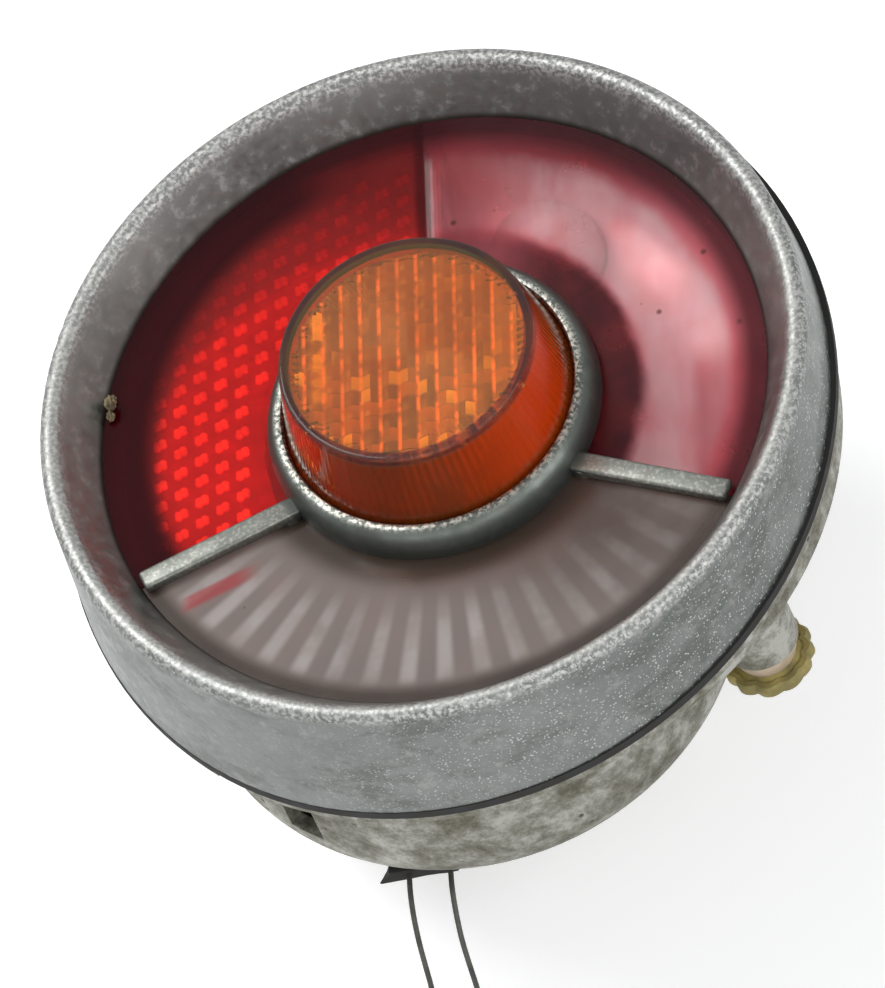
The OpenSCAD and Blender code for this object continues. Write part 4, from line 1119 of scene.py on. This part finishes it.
# Harness grommet: a tapered collar on the spout and a thick flange worn into flats
grommetSet = {
    "at": (0.0545 * math.cos(math.radians(-36)), 0.0545 * math.sin(math.radians(-36)), 0.032),
    "bore": 0.0030, "plug": 0.00455, "plugTop": 0.0090,
    "collar": [(0.0057, -0.00005), (0.0056, -0.0012), (0.0052, -0.0028), (0.0049, -0.0040)],
    "flange": [(0.0048, -0.0040), (0.0056, -0.0044), (0.0062, -0.0041), (0.0070, -0.0042),
               (0.0074, -0.0049), (0.0074, -0.0062), (0.0069, -0.0070), (0.0055, -0.0072)],
    "flats": 12, "flatDeep": 0.00035, "flatFrom": 0.0060,
}


def makeGrommet(s):
    bore, plug, top = s["bore"], s["plug"], s["plugTop"]
    seat, neck, foot = s["collar"][0][1], s["collar"][-1][1], s["flange"][-1][1]
    tapered = [(bore, top), (plug, top), (plug, seat)] + s["collar"] + [(bore, neck)]
    collar = turnedPiece("grommetCollar", tapered, 72)
    flange = turnedPiece("grommetFlange", [(bore, neck)] + s["flange"] + [(bore, foot)], 144)
    for v in flange.data.vertices:
        r = math.hypot(v.co.x, v.co.y)
        if r > s["flatFrom"]:
            turn = math.atan2(v.co.y, v.co.x)
            wobble = 0.7 + 0.3 * math.sin(3 * turn + 1)
            flat = abs(math.cos(s["flats"] / 2 * turn + 0.5 * math.sin(2 * turn)))
            k = 1 - s["flatDeep"] / r * wobble * (1 - flat) * 2.2
            v.co.x, v.co.y = v.co.x * k, v.co.y * k
    for piece, finish in ((collar, "beigeCollar"), (flange, "agedRubber")):
        piece.location = s["at"]
        settle(piece, plain[finish], 35)
    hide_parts("harness_grommet")


makeGrommet(grommetSet)

# Lead boot: a flat rubber wedge with a torn flap, holding both leads
bootSet = {
    "centre": (-0.0181, -0.0399, 0.0023), "size": (0.0110, 0.0130, 0.0026), "edgeRound": 0.0004,
    "flapLong": 0.0035, "flapWide": 0.0040, "flapReach": 0.0052, "flapDrop": 0.0005, "ripple": 0.00012,
}


def makeBoot(s):
    bpy.ops.mesh.primitive_cube_add(size=1, location=s["centre"], scale=s["size"])
    piece = bpy.context.object
    piece.name = "leadBoot"
    freeze()
    intoEdit(piece)
    bpy.ops.mesh.subdivide(number_cuts=5)
    outOfEdit()
    left, front, low = [c - size / 2 for c, size in zip(s["centre"], s["size"])]
    for v in piece.data.vertices:
        nearFront = max(0, 1 - (v.co.y - front) / s["flapLong"])
        nearLeft = max(0, 1 - (v.co.x - left) / s["flapWide"])
        lowPart = 1 - (v.co.z - low) / s["size"][2]
        v.co.x -= s["flapReach"] * nearLeft * nearFront * lowPart ** 2 * 0.5
        v.co.z -= s["flapDrop"] * nearLeft * nearFront * lowPart
        v.co.z += s["ripple"] * math.sin(v.co.x * 2300) * nearFront
    soft = piece.modifiers.new("soft", "BEVEL")
    soft.width = s["edgeRound"]
    soft.segments = 2
    soft.angle_limit = math.radians(50)
    applyModifiers(piece)
    settle(piece, plain["blackRubber"], 35)
    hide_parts("lead_boot")


makeBoot(bootSet)
print("grommet and boot made")

# Dirt and corrosion lodged at the foot of the rim's inner wall
dirtSet = {
    "clumps": [((-0.0517, 0.0093, 0.0634), 0.0011), ((-0.0519, 0.0076, 0.0624), 0.0008),
               ((-0.0515, 0.0108, 0.0622), 0.0006)],
    "wave": 0.35, "ragged": 0.08, "narrow": 0.75, "seed": 5,
}


def makeDirt(s):
    random.seed(s["seed"])
    lumps = []
    for place, size in s["clumps"]:
        bpy.ops.mesh.primitive_ico_sphere_add(subdivisions=3, radius=size, location=(0, 0, 0))
        lump = bpy.context.object
        for v in lump.data.vertices:
            n = v.co.normalized()
            wave = s["wave"] * math.sin(7 * n.x + 3 * n.y) * math.cos(6 * n.z + 2)
            v.co *= 1 + wave + random.uniform(-s["ragged"], s["ragged"])
            v.co.x *= s["narrow"]
        lump.location = place
        lumps.append(lump)
    piece = joinAll("footDirt", lumps)
    settle(piece, plain["dirt"], 60)


makeDirt(dirtSet)

# Floor, lights and world
stageSet = {
    "floorColour": (0.90, 0.90, 0.90), "floorRough": 0.9, "floorGlow": 0.42, "floorRadius": 3,
    "key": {"at": (-0.55, 0.30, 0.95), "size": 0.7, "power": 8},
    "fill": {"at": (0.75, -0.35, 0.55), "size": 0.7, "power": 3},
    "front": {"at": (0.05, -0.95, 0.45), "size": 0.8, "power": 3},
    "world": 0.34, "worldTint": (0.94, 0.96, 1.0),
}


def softLamp(name, s):
    data = bpy.data.lights.new(name, "AREA")
    data.shape = "DISK"
    data.size = s["size"]
    data.energy = s["power"]
    lampObject = bpy.data.objects.new(name, data)
    bpy.context.scene.collection.objects.link(lampObject)
    lampObject.location = s["at"]
    look = Vector((0, 0, 0.04)) - Vector(s["at"])
    lampObject.rotation_euler = look.to_track_quat("-Z", "Y").to_euler()


# One where the camera, a mirror-like surface or clear plastic looks at the background
def seenBy():
    path = newNode("LightPath")
    mirrored = mathOf("MAXIMUM", path.outputs["Is Glossy Ray"], path.outputs["Is Transmission Ray"])
    return mathOf("MAXIMUM", path.outputs["Is Camera Ray"], mirrored)


def makeStage(s):
    bpy.ops.mesh.primitive_circle_add(vertices=64, radius=s["floorRadius"], fill_type="NGON",
                                      location=(0, 0, floorLevel))
    floor = bpy.context.object
    floor.name = "floor"
    newFinish("paleFloor")
    glow = timesOf(seenBy(), s["floorGlow"])
    dress(floor, coat(s["floorColour"], s["floorRough"],
                      {"Emission Color": (1, 1, 1), "Emission Strength": glow}))
    for name in ("key", "fill", "front"):
        softLamp(name, s[name])
    world = bpy.data.worlds.new("studio")
    bpy.context.scene.world = world
    world.use_nodes = True
    bench["tree"] = world.node_tree
    back = world.node_tree.nodes["Background"]
    seen = seenBy()
    put(mixOf(seen, s["worldTint"], (1, 1, 1)), back, "Color")
    put(plusOf(timesOf(seen, 1 - s["world"]), s["world"]), back, "Strength")


makeStage(stageSet)
bpy.context.scene.view_settings.view_transform = "Standard"
print("stage lit")
